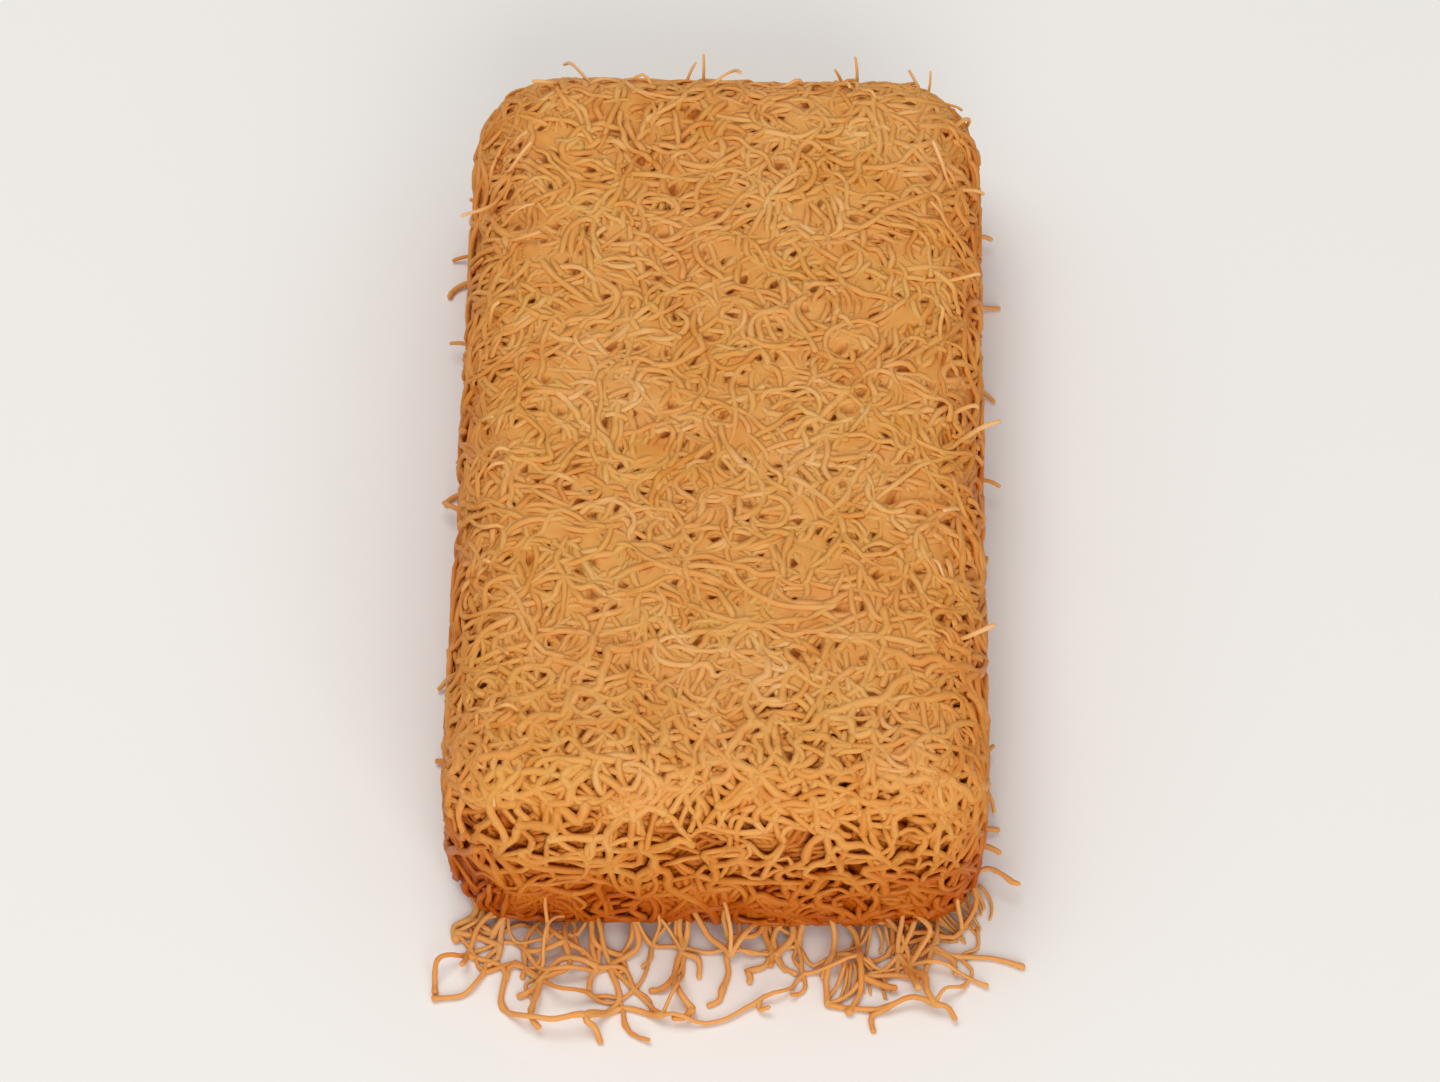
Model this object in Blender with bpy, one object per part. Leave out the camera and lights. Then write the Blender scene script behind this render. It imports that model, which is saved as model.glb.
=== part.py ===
"""A piece of kunafa: one baked, pressed block of fine pastry strands, with strays at its foot.

Run with: blender --background --python part.py
Metres, +Z up. The block lies along Y, its front end at -Y. The origin is the centre of its flat base.
"""

import math
import random

import bmesh
import bpy
from mathutils import Matrix, Vector, noise

MM = 0.001

# Driving dimensions of the pressed block, over its outermost strands
LENGTH = 110 * MM
WIDTH = 61 * MM
HEIGHT = 25 * MM
FRONT_RADIUS = 9.5 * MM  # of the two upright corners of the front end, seen from above
BACK_RADIUS = 11.5 * MM  # of the two of the back end
TOP_RADIUS = 9 * MM  # where the top rolls over into the sides
FOOT_RADIUS = 3.5 * MM  # where the sides turn in under the block

# The solid under the strands that show
CORE_DEPTH = 1.15 * MM  # of its mean surface, below the outermost strands
CRAG_DEPTH = 0.45 * MM
CRAG_WIDTH = 5.0 * MM
GRAIN_DEPTH = 0.3 * MM
GRAIN_WIDTH = 2.6 * MM
FLAT_FOOT = 2.0 * MM  # below this height the relief fades out, towards the flat base
CELL = 4.2 * MM  # of the mesh, where the block isn't rounded
ROLL_STEPS = 3
FOOT_STEPS = 2

# The pastry strands
STRAND_RADIUS = 0.43 * MM
STRAND_SIDES = 4
STRAND_STEP = 1.7 * MM
LENGTH_SPREAD = (0.8, 1.2)
LEAST_BEND = 3.0 * MM  # the radius of the tightest curl
CURL_KEPT = 0.75  # the share of a step's bend that the next step keeps
CURL_CHANGE = 0.5  # what a step adds to it, as a share of the tightest curl
SEED = 11

# Strands laid over the block, one to a patch, with both ends tucked into the core
PATCH = 12 * MM
PATCH_MIDDLE = (0.25, 0.75)  # where in its patch a strand's middle may lie
WALL_MIDDLE = (0.35, 0.6)  # where up the wall it may lie, as a share of the height
LAID_LENGTH = 17 * MM
TUCK_DEPTH = 1.7 * MM  # of the ends, below the outermost strands
TUCK_POWER = 4  # how late a strand turns down into the core

# Strays that come out of the wall near its foot and droop to what the block stands on.
# The front end has a fringe of long ones, and the other sides have a few short ones.
FRINGE_SPACING = 4.6 * MM
FRINGE_LENGTH = 13 * MM
FRONT_FACING = -0.6  # the part of the outline whose outward Y is below this is the front end
STRAY_SPACING = 18 * MM
STRAY_LENGTH = 7 * MM
STRAY_ROOT = 2.2 * MM  # how far inside the wall a stray begins
STRAY_HEIGHTS = (1.6 * MM, 6.5 * MM)
STRAY_FAN = 0.8  # the widest angle between a stray's start and straight out, in radians
STRAY_REST = STRAND_RADIUS + 0.05 * MM  # its centre line above the ground
STEEPEST_DROOP = 0.5
DROOP_LENGTH = 5 * MM
LEAST_OUTWARD = 0.1  # a stray that turns back along the wall further than this is turned out again

UP = Vector((0, 0, 1))
QUARTER_TURN = math.pi / 2
CORNER_RADII = (BACK_RADIUS, BACK_RADIUS, FRONT_RADIUS, FRONT_RADIUS)  # anticlockwise from the back right
PERIMETER = 2 * (LENGTH + WIDTH) - (2 - QUARTER_TURN) * sum(CORNER_RADII)


def corner_radius(y):
    """The radius of the upright corners of the end that a place is nearer to."""
    return FRONT_RADIUS if y < 0 else BACK_RADIUS


def plan_offset(x, y):
    """From the nearest point of the inner outline, at whose corners the plan's arcs are centred."""
    half_x = WIDTH / 2 - corner_radius(y)
    half_y = LENGTH / 2 - corner_radius(y)
    return Vector((x - max(-half_x, min(half_x, x)), y - max(-half_y, min(half_y, y))))


def distance_outside(point):
    """How far a point is outside the block's smooth outer form; negative inside it."""
    out = plan_offset(point.x, point.y).length - corner_radius(point.y)
    over = point.z - HEIGHT
    if out > -TOP_RADIUS and over > -TOP_RADIUS:
        return math.hypot(out + TOP_RADIUS, over + TOP_RADIUS) - TOP_RADIUS
    if out > -FOOT_RADIUS and point.z < FOOT_RADIUS:
        return math.hypot(out + FOOT_RADIUS, FOOT_RADIUS - point.z) - FOOT_RADIUS
    return max(out, over, -point.z)


def outward(point):
    """The direction in which the distance outside the block grows fastest."""
    reach = 0.05 * MM
    steps = (Vector((reach, 0, 0)), Vector((0, reach, 0)), Vector((0, 0, reach)))
    rise = Vector([distance_outside(point + s) - distance_outside(point - s) for s in steps])
    return rise.normalized()


def round_corner(x, y):
    """Moves a point of the rectangular plan so that its corners become arcs and its cells stay even."""
    offset = plan_offset(x, y)
    if offset.x == 0 or offset.y == 0:
        return Vector((x, y))
    scale = max(abs(offset.x), abs(offset.y)) / offset.length
    return Vector((x, y)) - offset + offset * scale


def grid_lines(half):
    """Places of grid lines across a side of the plan: closer together over the rolled edges."""
    turns = [QUARTER_TURN * k / ROLL_STEPS for k in range(ROLL_STEPS)]
    rolled = [half - TOP_RADIUS * (1 - math.cos(turn)) for turn in turns]
    inner = half - TOP_RADIUS
    cells = math.ceil(2 * inner / CELL)
    even = [inner - 2 * inner * k / cells for k in range(cells + 1)]
    return rolled + even + [-x for x in reversed(rolled)]


def top_height(x, y):
    """The height of the smooth top over a point of the plan."""
    in_from_edge = corner_radius(y) - plan_offset(x, y).length
    short = max(0.0, TOP_RADIUS - in_from_edge)
    return HEIGHT - TOP_RADIUS + math.sqrt(max(0.0, TOP_RADIUS**2 - short**2))


def wall_rows():
    """(height, distance in from the plan's edge) of the rows below the top, down to the flat base."""
    upper = HEIGHT - TOP_RADIUS
    count = math.ceil((upper - FOOT_RADIUS) / CELL)
    rows = [(upper - (upper - FOOT_RADIUS) * k / count, 0.0) for k in range(1, count + 1)]
    for k in range(1, FOOT_STEPS + 1):
        turn = QUARTER_TURN * k / FOOT_STEPS
        rows.append((FOOT_RADIUS * (1 - math.sin(turn)), FOOT_RADIUS * (1 - math.cos(turn))))
    return rows


def relief(point):
    """Depth of the core's surface below the outermost strands: crags, with a finer grain on them."""
    crag = noise.noise(point / CRAG_WIDTH)
    grain = noise.noise(point / GRAIN_WIDTH + Vector((7.3, 1.9, 4.1)))
    full = CORE_DEPTH - CRAG_DEPTH * crag - GRAIN_DEPTH * grain
    return full * max(0.0, min(1.0, point.z / FLAT_FOOT))


def finished(made, name):
    """A closed mesh of triangles from a bmesh, which is freed."""
    bmesh.ops.triangulate(made, faces=made.faces)
    bmesh.ops.recalc_face_normals(made, faces=made.faces)
    mesh = bpy.data.meshes.new(name)
    made.to_mesh(mesh)
    made.free()
    return mesh


def core_mesh():
    """The block under its visible strands, with a flat base."""
    made = bmesh.new()
    xs = grid_lines(WIDTH / 2)
    ys = grid_lines(LENGTH / 2)
    top = []
    for x in xs:
        places = [round_corner(x, y) for y in ys]
        top.append([made.verts.new((p.x, p.y, top_height(p.x, p.y))) for p in places])
    for near, far in zip(top, top[1:]):
        for j in range(len(ys) - 1):
            made.faces.new((near[j], near[j + 1], far[j + 1], far[j]))

    edge = [column[0] for column in top] + top[-1][1:]
    edge += [column[-1] for column in reversed(top[:-1])] + list(reversed(top[0][1:-1]))
    outline = [(v.co.x, v.co.y, plan_offset(v.co.x, v.co.y).normalized()) for v in edge]
    above = edge
    for height, inset in wall_rows():
        row = [made.verts.new((x - out.x * inset, y - out.y * inset, height)) for x, y, out in outline]
        for k in range(len(row)):
            after = (k + 1) % len(row)
            made.faces.new((above[k], above[after], row[after], row[k]))
        above = row
    made.faces.new(above)

    moves = [(v, outward(v.co) * relief(v.co)) for v in made.verts if v.co.z > 0]
    for vertex, move in moves:
        vertex.co -= move
    return finished(made, "core")


def strand_mesh(points, name):
    """A closed tube of the strand's radius along a list of points."""
    made = bmesh.new()
    side = (points[1] - points[0]).orthogonal().normalized()
    turns = [2 * math.pi * s / STRAND_SIDES for s in range(STRAND_SIDES)]
    rings = []
    for k, point in enumerate(points):
        ahead = (points[min(k + 1, len(points) - 1)] - points[max(k - 1, 0)]).normalized()
        side = (side - ahead * side.dot(ahead)).normalized()
        across = ahead.cross(side)
        ring = [point + (side * math.cos(a) + across * math.sin(a)) * STRAND_RADIUS for a in turns]
        rings.append([made.verts.new(place) for place in ring])
    for near, far in zip(rings, rings[1:]):
        for s in range(STRAND_SIDES):
            after = (s + 1) % STRAND_SIDES
            made.faces.new((near[s], near[after], far[after], far[s]))
    made.faces.new(list(reversed(rings[0])))
    made.faces.new(rings[-1])
    return finished(made, name)


def wandering_bends(draw, steps):
    """The angle turned at each step of a strand: its curls grow and fade, and none is too tight."""
    bends = []
    bend = draw.uniform(-1, 1)
    for _ in range(steps):
        bend = CURL_KEPT * bend + draw.gauss(0, CURL_CHANGE)
        bend = max(-1, min(1, bend))
        bends.append(bend * STRAND_STEP / LEAST_BEND)
    return bends


def laid_half(middle, course, bends):
    """Points of half a strand, from next to its middle on the block's skin to its tucked end."""
    point = middle
    half = []
    for k, turn in enumerate(bends, start=1):
        point = point + course * STRAND_STEP
        normal = outward(point)
        depth = STRAND_RADIUS + (TUCK_DEPTH - STRAND_RADIUS) * (k / len(bends)) ** TUCK_POWER
        point = point - normal * (distance_outside(point) + depth)
        course = (course - normal * course.dot(normal)).normalized()
        course = Matrix.Rotation(turn, 3, normal) @ course
        half.append(point)
    return half


def laid_strand(draw, middle):
    """Points of a strand that lies on the block's skin, its middle near a given point."""
    steps = round(LAID_LENGTH * draw.uniform(*LENGTH_SPREAD) / STRAND_STEP / 2)
    normal = outward(middle)
    middle = middle - normal * (distance_outside(middle) + STRAND_RADIUS)
    course = Matrix.Rotation(draw.uniform(0, 2 * math.pi), 3, normal) @ normal.orthogonal().normalized()
    ahead = laid_half(middle, course, wandering_bends(draw, steps))
    behind = laid_half(middle, -course, wandering_bends(draw, steps))
    return list(reversed(behind)) + [middle] + ahead


def stray_strand(draw, foot, out, length):
    """Points of a strand that comes out of the wall above a place on its foot, and droops to the ground."""
    steps = round(length * draw.uniform(*LENGTH_SPREAD) / STRAND_STEP)
    point = foot - out * STRAY_ROOT + UP * draw.uniform(*STRAY_HEIGHTS)
    course = Matrix.Rotation(draw.uniform(-STRAY_FAN, STRAY_FAN), 3, UP) @ out
    points = [point]
    for turn in wandering_bends(draw, steps):
        droop = min(STEEPEST_DROOP, (point.z - STRAY_REST) / DROOP_LENGTH)
        point = point + (course - UP * droop).normalized() * STRAND_STEP
        point.z = max(point.z, STRAY_REST)
        course = Matrix.Rotation(turn, 3, UP) @ course
        if course.dot(out) < LEAST_OUTWARD:
            course = (course + out / 2).normalized()
        points.append(point)
    return points


def outline_point(along):
    """(point, outward direction) on the plan's edge, at a distance along it from one corner's end."""
    left = along % PERIMETER
    for quarter, radius in enumerate(CORNER_RADII):
        out = Matrix.Rotation(quarter * QUARTER_TURN, 3, UP) @ Vector((1, 0, 0))
        ahead = UP.cross(out)
        side, across = (LENGTH, WIDTH) if quarter % 2 == 0 else (WIDTH, LENGTH)
        radius_before = CORNER_RADII[quarter - 1]
        straight = side - radius_before - radius
        if left < straight:
            return out * across / 2 + ahead * (left + radius_before - side / 2), out
        left -= straight
        arc = QUARTER_TURN * radius
        if left < arc or quarter == 3:
            turned = Matrix.Rotation(left / radius, 3, UP) @ out
            return out * (across / 2 - radius) + ahead * (side / 2 - radius) + turned * radius, turned
        left -= arc


def outline_places(draw, spacing):
    """(point, outward direction) of places near the middles of even lengths of the plan's edge."""
    count = round(PERIMETER / spacing)
    return [outline_point(PERIMETER * (k + draw.uniform(*PATCH_MIDDLE)) / count) for k in range(count)]


def patch_middles(draw):
    """A point near the middle of each patch of the top and of the wall, so that strands lie evenly."""
    top_x = WIDTH - TOP_RADIUS
    top_y = LENGTH - TOP_RADIUS
    across = round(top_x / PATCH)
    along = round(top_y / PATCH)
    middles = []
    for i in range(across):
        for j in range(along):
            x = top_x * ((i + draw.uniform(*PATCH_MIDDLE)) / across - 1 / 2)
            y = top_y * ((j + draw.uniform(*PATCH_MIDDLE)) / along - 1 / 2)
            middles.append(Vector((x, y, HEIGHT)))
    for edge, _ in outline_places(draw, PATCH):
        middles.append(edge + UP * HEIGHT * draw.uniform(*WALL_MIDDLE))
    return middles


def strand_paths():
    """The centre lines of all strands that are fused to the core."""
    draw = random.Random(SEED)
    paths = [laid_strand(draw, middle) for middle in patch_middles(draw)]
    for foot, out in outline_places(draw, FRINGE_SPACING):
        if out.y < FRONT_FACING:
            paths.append(stray_strand(draw, foot, out, FRINGE_LENGTH))
    for foot, out in outline_places(draw, STRAY_SPACING):
        if out.y >= FRONT_FACING:
            paths.append(stray_strand(draw, foot, out, STRAY_LENGTH))
    return paths


def pastry_material():
    """Baked pastry: golden tan, matt, with a little butter on it."""
    material = bpy.data.materials.new("baked_pastry")
    material.use_nodes = True
    shader = material.node_tree.nodes["Principled BSDF"]
    shader.inputs["Base Color"].default_value = (0.58, 0.25, 0.067, 1.0)
    shader.inputs["Roughness"].default_value = 0.6
    return material


def fuse(block, pieces):
    """Joins a collection's objects to the block with one Boolean union, and removes them."""
    union = block.modifiers.new("strands", "BOOLEAN")
    union.operation = "UNION"
    union.operand_type = "COLLECTION"
    union.collection = pieces
    union.solver = "MANIFOLD"
    graph = bpy.context.evaluated_depsgraph_get()
    joined = bpy.data.meshes.new_from_object(block.evaluated_get(graph))
    block.modifiers.clear()
    block.data = joined
    for piece in list(pieces.objects):
        bpy.data.objects.remove(piece)
    bpy.data.collections.remove(pieces)


def main():
    for old in list(bpy.data.objects):
        bpy.data.objects.remove(old)
    block = bpy.data.objects.new("kunafa", core_mesh())
    bpy.context.scene.collection.objects.link(block)
    pieces = bpy.data.collections.new("strands")
    bpy.context.scene.collection.children.link(pieces)
    for k, points in enumerate(strand_paths()):
        name = f"strand_{k:03d}"
        pieces.objects.link(bpy.data.objects.new(name, strand_mesh(points, name)))
    fuse(block, pieces)
    block.data.materials.clear()
    block.data.materials.append(pastry_material())
    block.data.shade_flat()


main()
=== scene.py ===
"""Dresses the pressed kunafa with its baked pastry strands, on a pale table under soft studio light."""

import logging
import math
from dataclasses import dataclass, replace
from enum import Enum
from itertools import combinations

import bpy
import numpy as np
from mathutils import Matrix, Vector
from mathutils.kdtree import KDTree

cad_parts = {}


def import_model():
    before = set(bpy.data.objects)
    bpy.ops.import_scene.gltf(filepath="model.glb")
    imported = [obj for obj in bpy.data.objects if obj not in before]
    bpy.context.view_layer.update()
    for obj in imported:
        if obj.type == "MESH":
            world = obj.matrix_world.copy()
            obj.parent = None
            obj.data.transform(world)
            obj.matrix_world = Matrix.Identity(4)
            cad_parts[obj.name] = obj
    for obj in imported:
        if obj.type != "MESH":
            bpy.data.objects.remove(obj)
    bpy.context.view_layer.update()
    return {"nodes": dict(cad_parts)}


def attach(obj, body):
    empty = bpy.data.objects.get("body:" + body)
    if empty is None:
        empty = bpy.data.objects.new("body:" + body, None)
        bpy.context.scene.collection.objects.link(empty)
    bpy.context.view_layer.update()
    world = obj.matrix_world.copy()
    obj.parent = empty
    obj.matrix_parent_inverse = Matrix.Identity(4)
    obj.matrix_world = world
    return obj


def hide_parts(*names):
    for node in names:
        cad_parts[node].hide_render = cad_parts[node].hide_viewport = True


MM = 0.001
NODE = "kunafa"
BODY = "root"
PALETTE_MAP = "OFBake"
UP = np.array([0.0, 0.0, 1.0])
log = logging.getLogger("kunafa")

Array = np.ndarray
Chance = np.random.Generator
Pair = tuple[float, float]  # two values, mostly the ends of a range


# ---------------------------------------------------------------- small helpers


def unit(vectors: Array) -> Array:
    """The vectors at length one."""
    return vectors / np.maximum(np.linalg.norm(vectors, axis=-1, keepdims=True), 1e-12)


def ease(values: Array, low: float, high: float) -> Array:
    """A smooth step from 0 at low to 1 at high."""
    share = np.clip((values - low) / (high - low), 0.0, 1.0)
    return share * share * (3.0 - 2.0 * share)


def between(ends: Pair, share: Array) -> Array:
    """The value that is a share of the way from the first end to the second."""
    return ends[0] + (ends[1] - ends[0]) * share


def linear(hex_colour: str) -> tuple[float, float, float, float]:
    """Turns an sRGB hex colour to linear.

    Args:
        hex_colour: Six hex digits, such as "d9a066".

    Returns:
        Linear red, green and blue, and an alpha of one.
    """
    parts = [int(hex_colour[k : k + 2], 16) / 255 for k in (0, 2, 4)]
    out = [c / 12.92 if c <= 0.04045 else ((c + 0.055) / 1.055) ** 2.4 for c in parts]
    return out[0], out[1], out[2], 1.0


def turned(vectors: Array, axes: Array, angles: Array) -> Array:
    """The vectors, turned by angles about the unit axes that they are square to."""
    cos, sin = np.cos(angles)[:, None], np.sin(angles)[:, None]
    return vectors * cos + np.cross(axes, vectors) * sin


def even_pairs(count: int, rng: Chance) -> Array:
    """Spreads points evenly but unruled over a unit square.

    Args:
        count: How many points.
        rng: The seeded source of chance.

    Returns:
        An array of count pairs between 0 and 1.
    """
    plastic = 1.32471795724474602596  # its powers give steps that never line up
    strewn = 0.35  # of the usual gap
    steps = np.array([1 / plastic, 1 / plastic**2])
    spread = rng.random(2) + np.arange(1, count + 1)[:, None] * steps
    return (spread + rng.normal(0.0, strewn / math.sqrt(count), (count, 2))) % 1.0


def bends_at_random(count: int, kinks: float, rng: Chance) -> Array:
    """Draws bends of a usual size of one, of which some are sudden.

    Args:
        count: How many bends.
        kinks: The share of them that is rare and sharp, from 0 to 1.
        rng: The seeded source of chance.

    Returns:
        One bend for each strand.
    """
    even, rare = rng.normal(size=(2, count))
    cube_spread = 15  # the variance of a cubed normal draw
    return math.sqrt(1 - kinks) * even + math.sqrt(kinks / cube_spread) * rare**3


def for_each(mean: float, spread: float, shape: tuple[int, int], rng: Chance) -> Array:
    """Draws one value for each strand, and gives it by strand and point."""
    return rng.normal(mean, spread, (shape[0], 1)) + np.zeros(shape)


def uneven_radii(
    radius: float, thickness: Pair, lumps: Pair, shape: tuple[int, int], rng: Chance
) -> Array:
    """Draws radii by strand and point, which differ from strand to strand and along each."""
    return radius * rng.uniform(*thickness, (shape[0], 1)) * rng.uniform(*lumps, shape)


def in_mm(first: float, second: float) -> Pair:
    """Two sizes that are given in millimetres."""
    return first * MM, second * MM


def all_up(shape: tuple[int, ...]) -> Array:
    """The upward direction, as often as is asked for."""
    return np.tile(UP, shape + (1,))


def on_palette(tints: Array, tones: Array) -> Array:
    """Spots on the palette, kept clear of its edges."""
    return np.clip(np.stack([tints, tones], axis=-1), 0.01, 0.99)


def nearness_tree(places: Array) -> KDTree:
    """A tree that finds the nearest of the places."""
    tree = KDTree(len(places))
    for number, place in enumerate(places):
        tree.insert(place, number)
    tree.balance()
    return tree


def spaced(tried: Array, gaps: Array) -> Array:
    """Keeps the places that are no nearer to an earlier one than their own gap.

    Args:
        tried: Places, one a row.
        gaps: The least distance to the others, for each place.

    Returns:
        The places that are kept.
    """
    kept: list[Array] = []
    for place, gap in zip(tried, gaps):
        if not kept or np.linalg.norm(np.array(kept) - place, axis=1).min() > gap:
            kept.append(place)
    return np.array(kept)


def smoothed(paths: Array) -> Array:
    """The paths with their bends softened and their two ends kept."""
    inner = (paths[:, :-2] + 2 * paths[:, 1:-1] + paths[:, 2:]) / 4
    return np.concatenate([paths[:, :1], inner, paths[:, -1:]], axis=1)


def curve_through(places: Array, rows: int) -> Array:
    """Draws one smooth line through a few places.

    Args:
        places: What the line passes, one a row.
        rows: How many points it is drawn with, an even way apart.

    Returns:
        The line's points, one a row.
    """
    finer = 9  # points from each place to the next, before they are evened out
    padded = np.concatenate([2 * places[:1] - places[1:2], places, 2 * places[-1:] - places[-2:-1]])
    before, first, second, after = padded[:-3], padded[1:-2], padded[2:-1], padded[3:]
    share = np.linspace(0, 1, finer)[:, None, None]
    line = first + 0.5 * share * (second - before)
    line = line + share**2 * (before - 2.5 * first + 2 * second - 0.5 * after)
    line = line + share**3 * (1.5 * (first - second) + 0.5 * (after - before))
    line = line.swapaxes(0, 1).reshape(-1, 3)
    run = np.concatenate([[0], np.cumsum(np.linalg.norm(np.diff(line, axis=0), axis=1))])
    even = np.linspace(0, run[-1], rows)
    return np.stack([np.interp(even, run, line[:, axis]) for axis in range(3)], axis=1)


def mesh_from_arrays(
    name: str, places: Array, corners: Array, sizes: Array, palette: Array
) -> bpy.types.Mesh:
    """Makes a smooth mesh from arrays.

    Args:
        name: The mesh's name.
        places: Vertices, one a row.
        corners: The vertex of each face corner, face after face.
        sizes: How many corners each face has.
        palette: Each vertex's spot on the palette.

    Returns:
        The mesh, with its palette map.
    """
    made = bpy.data.meshes.new(name)
    made.vertices.add(len(places))
    made.vertices.foreach_set("co", places.astype(np.float32).ravel())
    made.loops.add(len(corners))
    made.loops.foreach_set("vertex_index", corners.astype(np.int32))
    made.polygons.add(len(sizes))
    starts = np.concatenate([[0], np.cumsum(sizes)[:-1]])
    made.polygons.foreach_set("loop_start", starts.astype(np.int32))
    made.polygons.foreach_set("use_smooth", np.ones(len(sizes), bool))
    palette_map = made.uv_layers.new(name=PALETTE_MAP)
    palette_map.uv.foreach_set("vector", palette[corners].astype(np.float32).ravel())
    made.update(calc_edges=True)
    return made


@dataclass(frozen=True)
class Mottle:
    """Soft blotches in space, made of a few waves in seeded directions."""

    width: float
    seed: int
    strength: float = 1.0
    waves: int = 14
    widths: Pair = (0.7, 1.6)  # of the waves, as shares of the blotches' width

    def at(self, points: Array) -> Array:
        """Values mostly between minus its strength and its strength, one for each point."""
        rng = np.random.default_rng(self.seed)
        ways = unit(rng.normal(size=(self.waves, 3)))
        tempo = 2 * math.pi / (self.width * rng.uniform(*self.widths, self.waves))
        phases = rng.uniform(0, 2 * math.pi, self.waves)
        waves = np.sin(points.reshape(-1, 3) @ (ways * tempo[:, None]).T + phases).sum(-1)
        return self.strength * waves.reshape(points.shape[:-1]) / math.sqrt(self.waves)


# ---------------------------------------------------------------- the block's form


@dataclass(frozen=True)
class PressedBlock:
    """The smooth outer form of the pressed block, which its outermost strands touch."""

    width: float
    length: float
    height: float
    front_radius: float = 9.5 * MM  # of the upright corners of the front end, seen from above
    back_radius: float = 11.5 * MM
    top_radius: float = 9 * MM
    foot_radius: float = 3.5 * MM

    @classmethod
    def from_frame(cls, node: bpy.types.Object) -> "PressedBlock":
        """Measures the block on its CAD node, above the strays at its foot.

        Args:
            node: The CAD node.

        Returns:
            The block's form.
        """
        places = np.empty(len(node.data.vertices) * 3, np.float32)
        node.data.vertices.foreach_get("co", places)
        places = places.reshape(-1, 3)
        height = float(places[:, 2].max())
        upper = places[places[:, 2] > height / 2]
        width, length, _ = np.ptp(upper, axis=0)
        return cls(float(width), float(length), height)

    def corner_radius(self, points: Array) -> Array:
        """The radius of the upright corners of the end that each point is nearer to."""
        return np.where(points[:, 1] < 0, self.front_radius, self.back_radius)

    def perimeter(self) -> float:
        """The length of the plan's edge."""
        return 2 * (self.width + self.length) - (4 - math.pi) * (self.front_radius + self.back_radius)

    def plan_gap(self, points: Array) -> tuple[Array, Array]:
        """Finds how far points are outside the plan's edge, and which way is out.

        Args:
            points: Places, one a row.

        Returns:
            Signed distances, negative inside, and unit level directions.
        """
        radius = self.corner_radius(points)
        half = np.array([self.width, self.length]) / 2 - radius[:, None]
        offset = points[:, :2] - np.clip(points[:, :2], -half, half)
        out = np.zeros_like(points)
        out[:, :2] = unit(offset)
        return np.linalg.norm(offset, axis=1) - radius, out

    def skin(self, points: Array) -> tuple[Array, Array]:
        """Finds how far points are outside the block, and which way is out.

        Args:
            points: Places, one a row.

        Returns:
            Signed distances, negative inside, and unit outward directions.
        """
        out, plan = self.plan_gap(points)
        over = points[:, 2] - self.height
        under = -points[:, 2]
        distance = np.maximum.reduce([out, over, under])
        normal = np.where((out >= distance)[:, None], plan, 0.0)
        normal = np.where((over >= distance)[:, None], UP, normal)
        normal = np.where((under >= distance)[:, None], -UP, normal)
        for radius, beyond, way in ((self.top_radius, over, UP), (self.foot_radius, under, -UP)):
            rolled = (out > -radius) & (beyond > -radius)
            bent = plan * (out + radius)[:, None] + way * (beyond + radius)[:, None]
            distance = np.where(rolled, np.linalg.norm(bent, axis=1) - radius, distance)
            normal = np.where(rolled[:, None], unit(bent), normal)
        return distance, normal

    def on_skin(self, points: Array) -> Array:
        """Moves points straight out or in until they lie on the block's skin."""
        for _ in range(2):
            distance, normal = self.skin(points)
            points = points - normal * distance[:, None]
        return points

    def edge(self, along: Array) -> tuple[Array, Array]:
        """Finds places on the plan's edge.

        Args:
            along: Shares of the way round, from the right side's front end, anticlockwise.

        Returns:
            Points at height 0, and the outward directions there.
        """
        radii = (self.back_radius, self.back_radius, self.front_radius, self.front_radius)
        left = (along % 1.0) * self.perimeter()
        points = np.zeros((len(along), 3))
        outs = np.zeros((len(along), 3))
        for quarter, radius in enumerate(radii):
            turn = quarter * math.pi / 2
            out = np.array([math.cos(turn), math.sin(turn), 0.0])
            ahead = np.cross(UP, out)
            sizes = (self.length, self.width) if quarter % 2 == 0 else (self.width, self.length)
            side, far = sizes[0] / 2, sizes[1] / 2
            before = radii[quarter - 1]
            straight = (left >= 0) & (left < 2 * side - before - radius)
            points[straight] = out * far + ahead * (left[straight, None] + before - side)
            outs[straight] = out
            left = left - (2 * side - before - radius)
            rounded = (left >= 0) & (left < radius * math.pi / 2)
            angle = turn + left[rounded] / radius
            swung = np.stack([np.cos(angle), np.sin(angle), np.zeros_like(angle)], axis=1)
            points[rounded] = out * (far - radius) + ahead * (side - radius) + swung * radius
            outs[rounded] = swung
            left = left - radius * math.pi / 2
        return points, outs


class Zone(Enum):
    """A part of the block's skin that strands are laid on."""

    TOP = "top"
    FRONT_TOP = "front of the top"
    RIM = "rim at the sides and back"
    WALL = "wall"
    BASE = "base"


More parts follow.
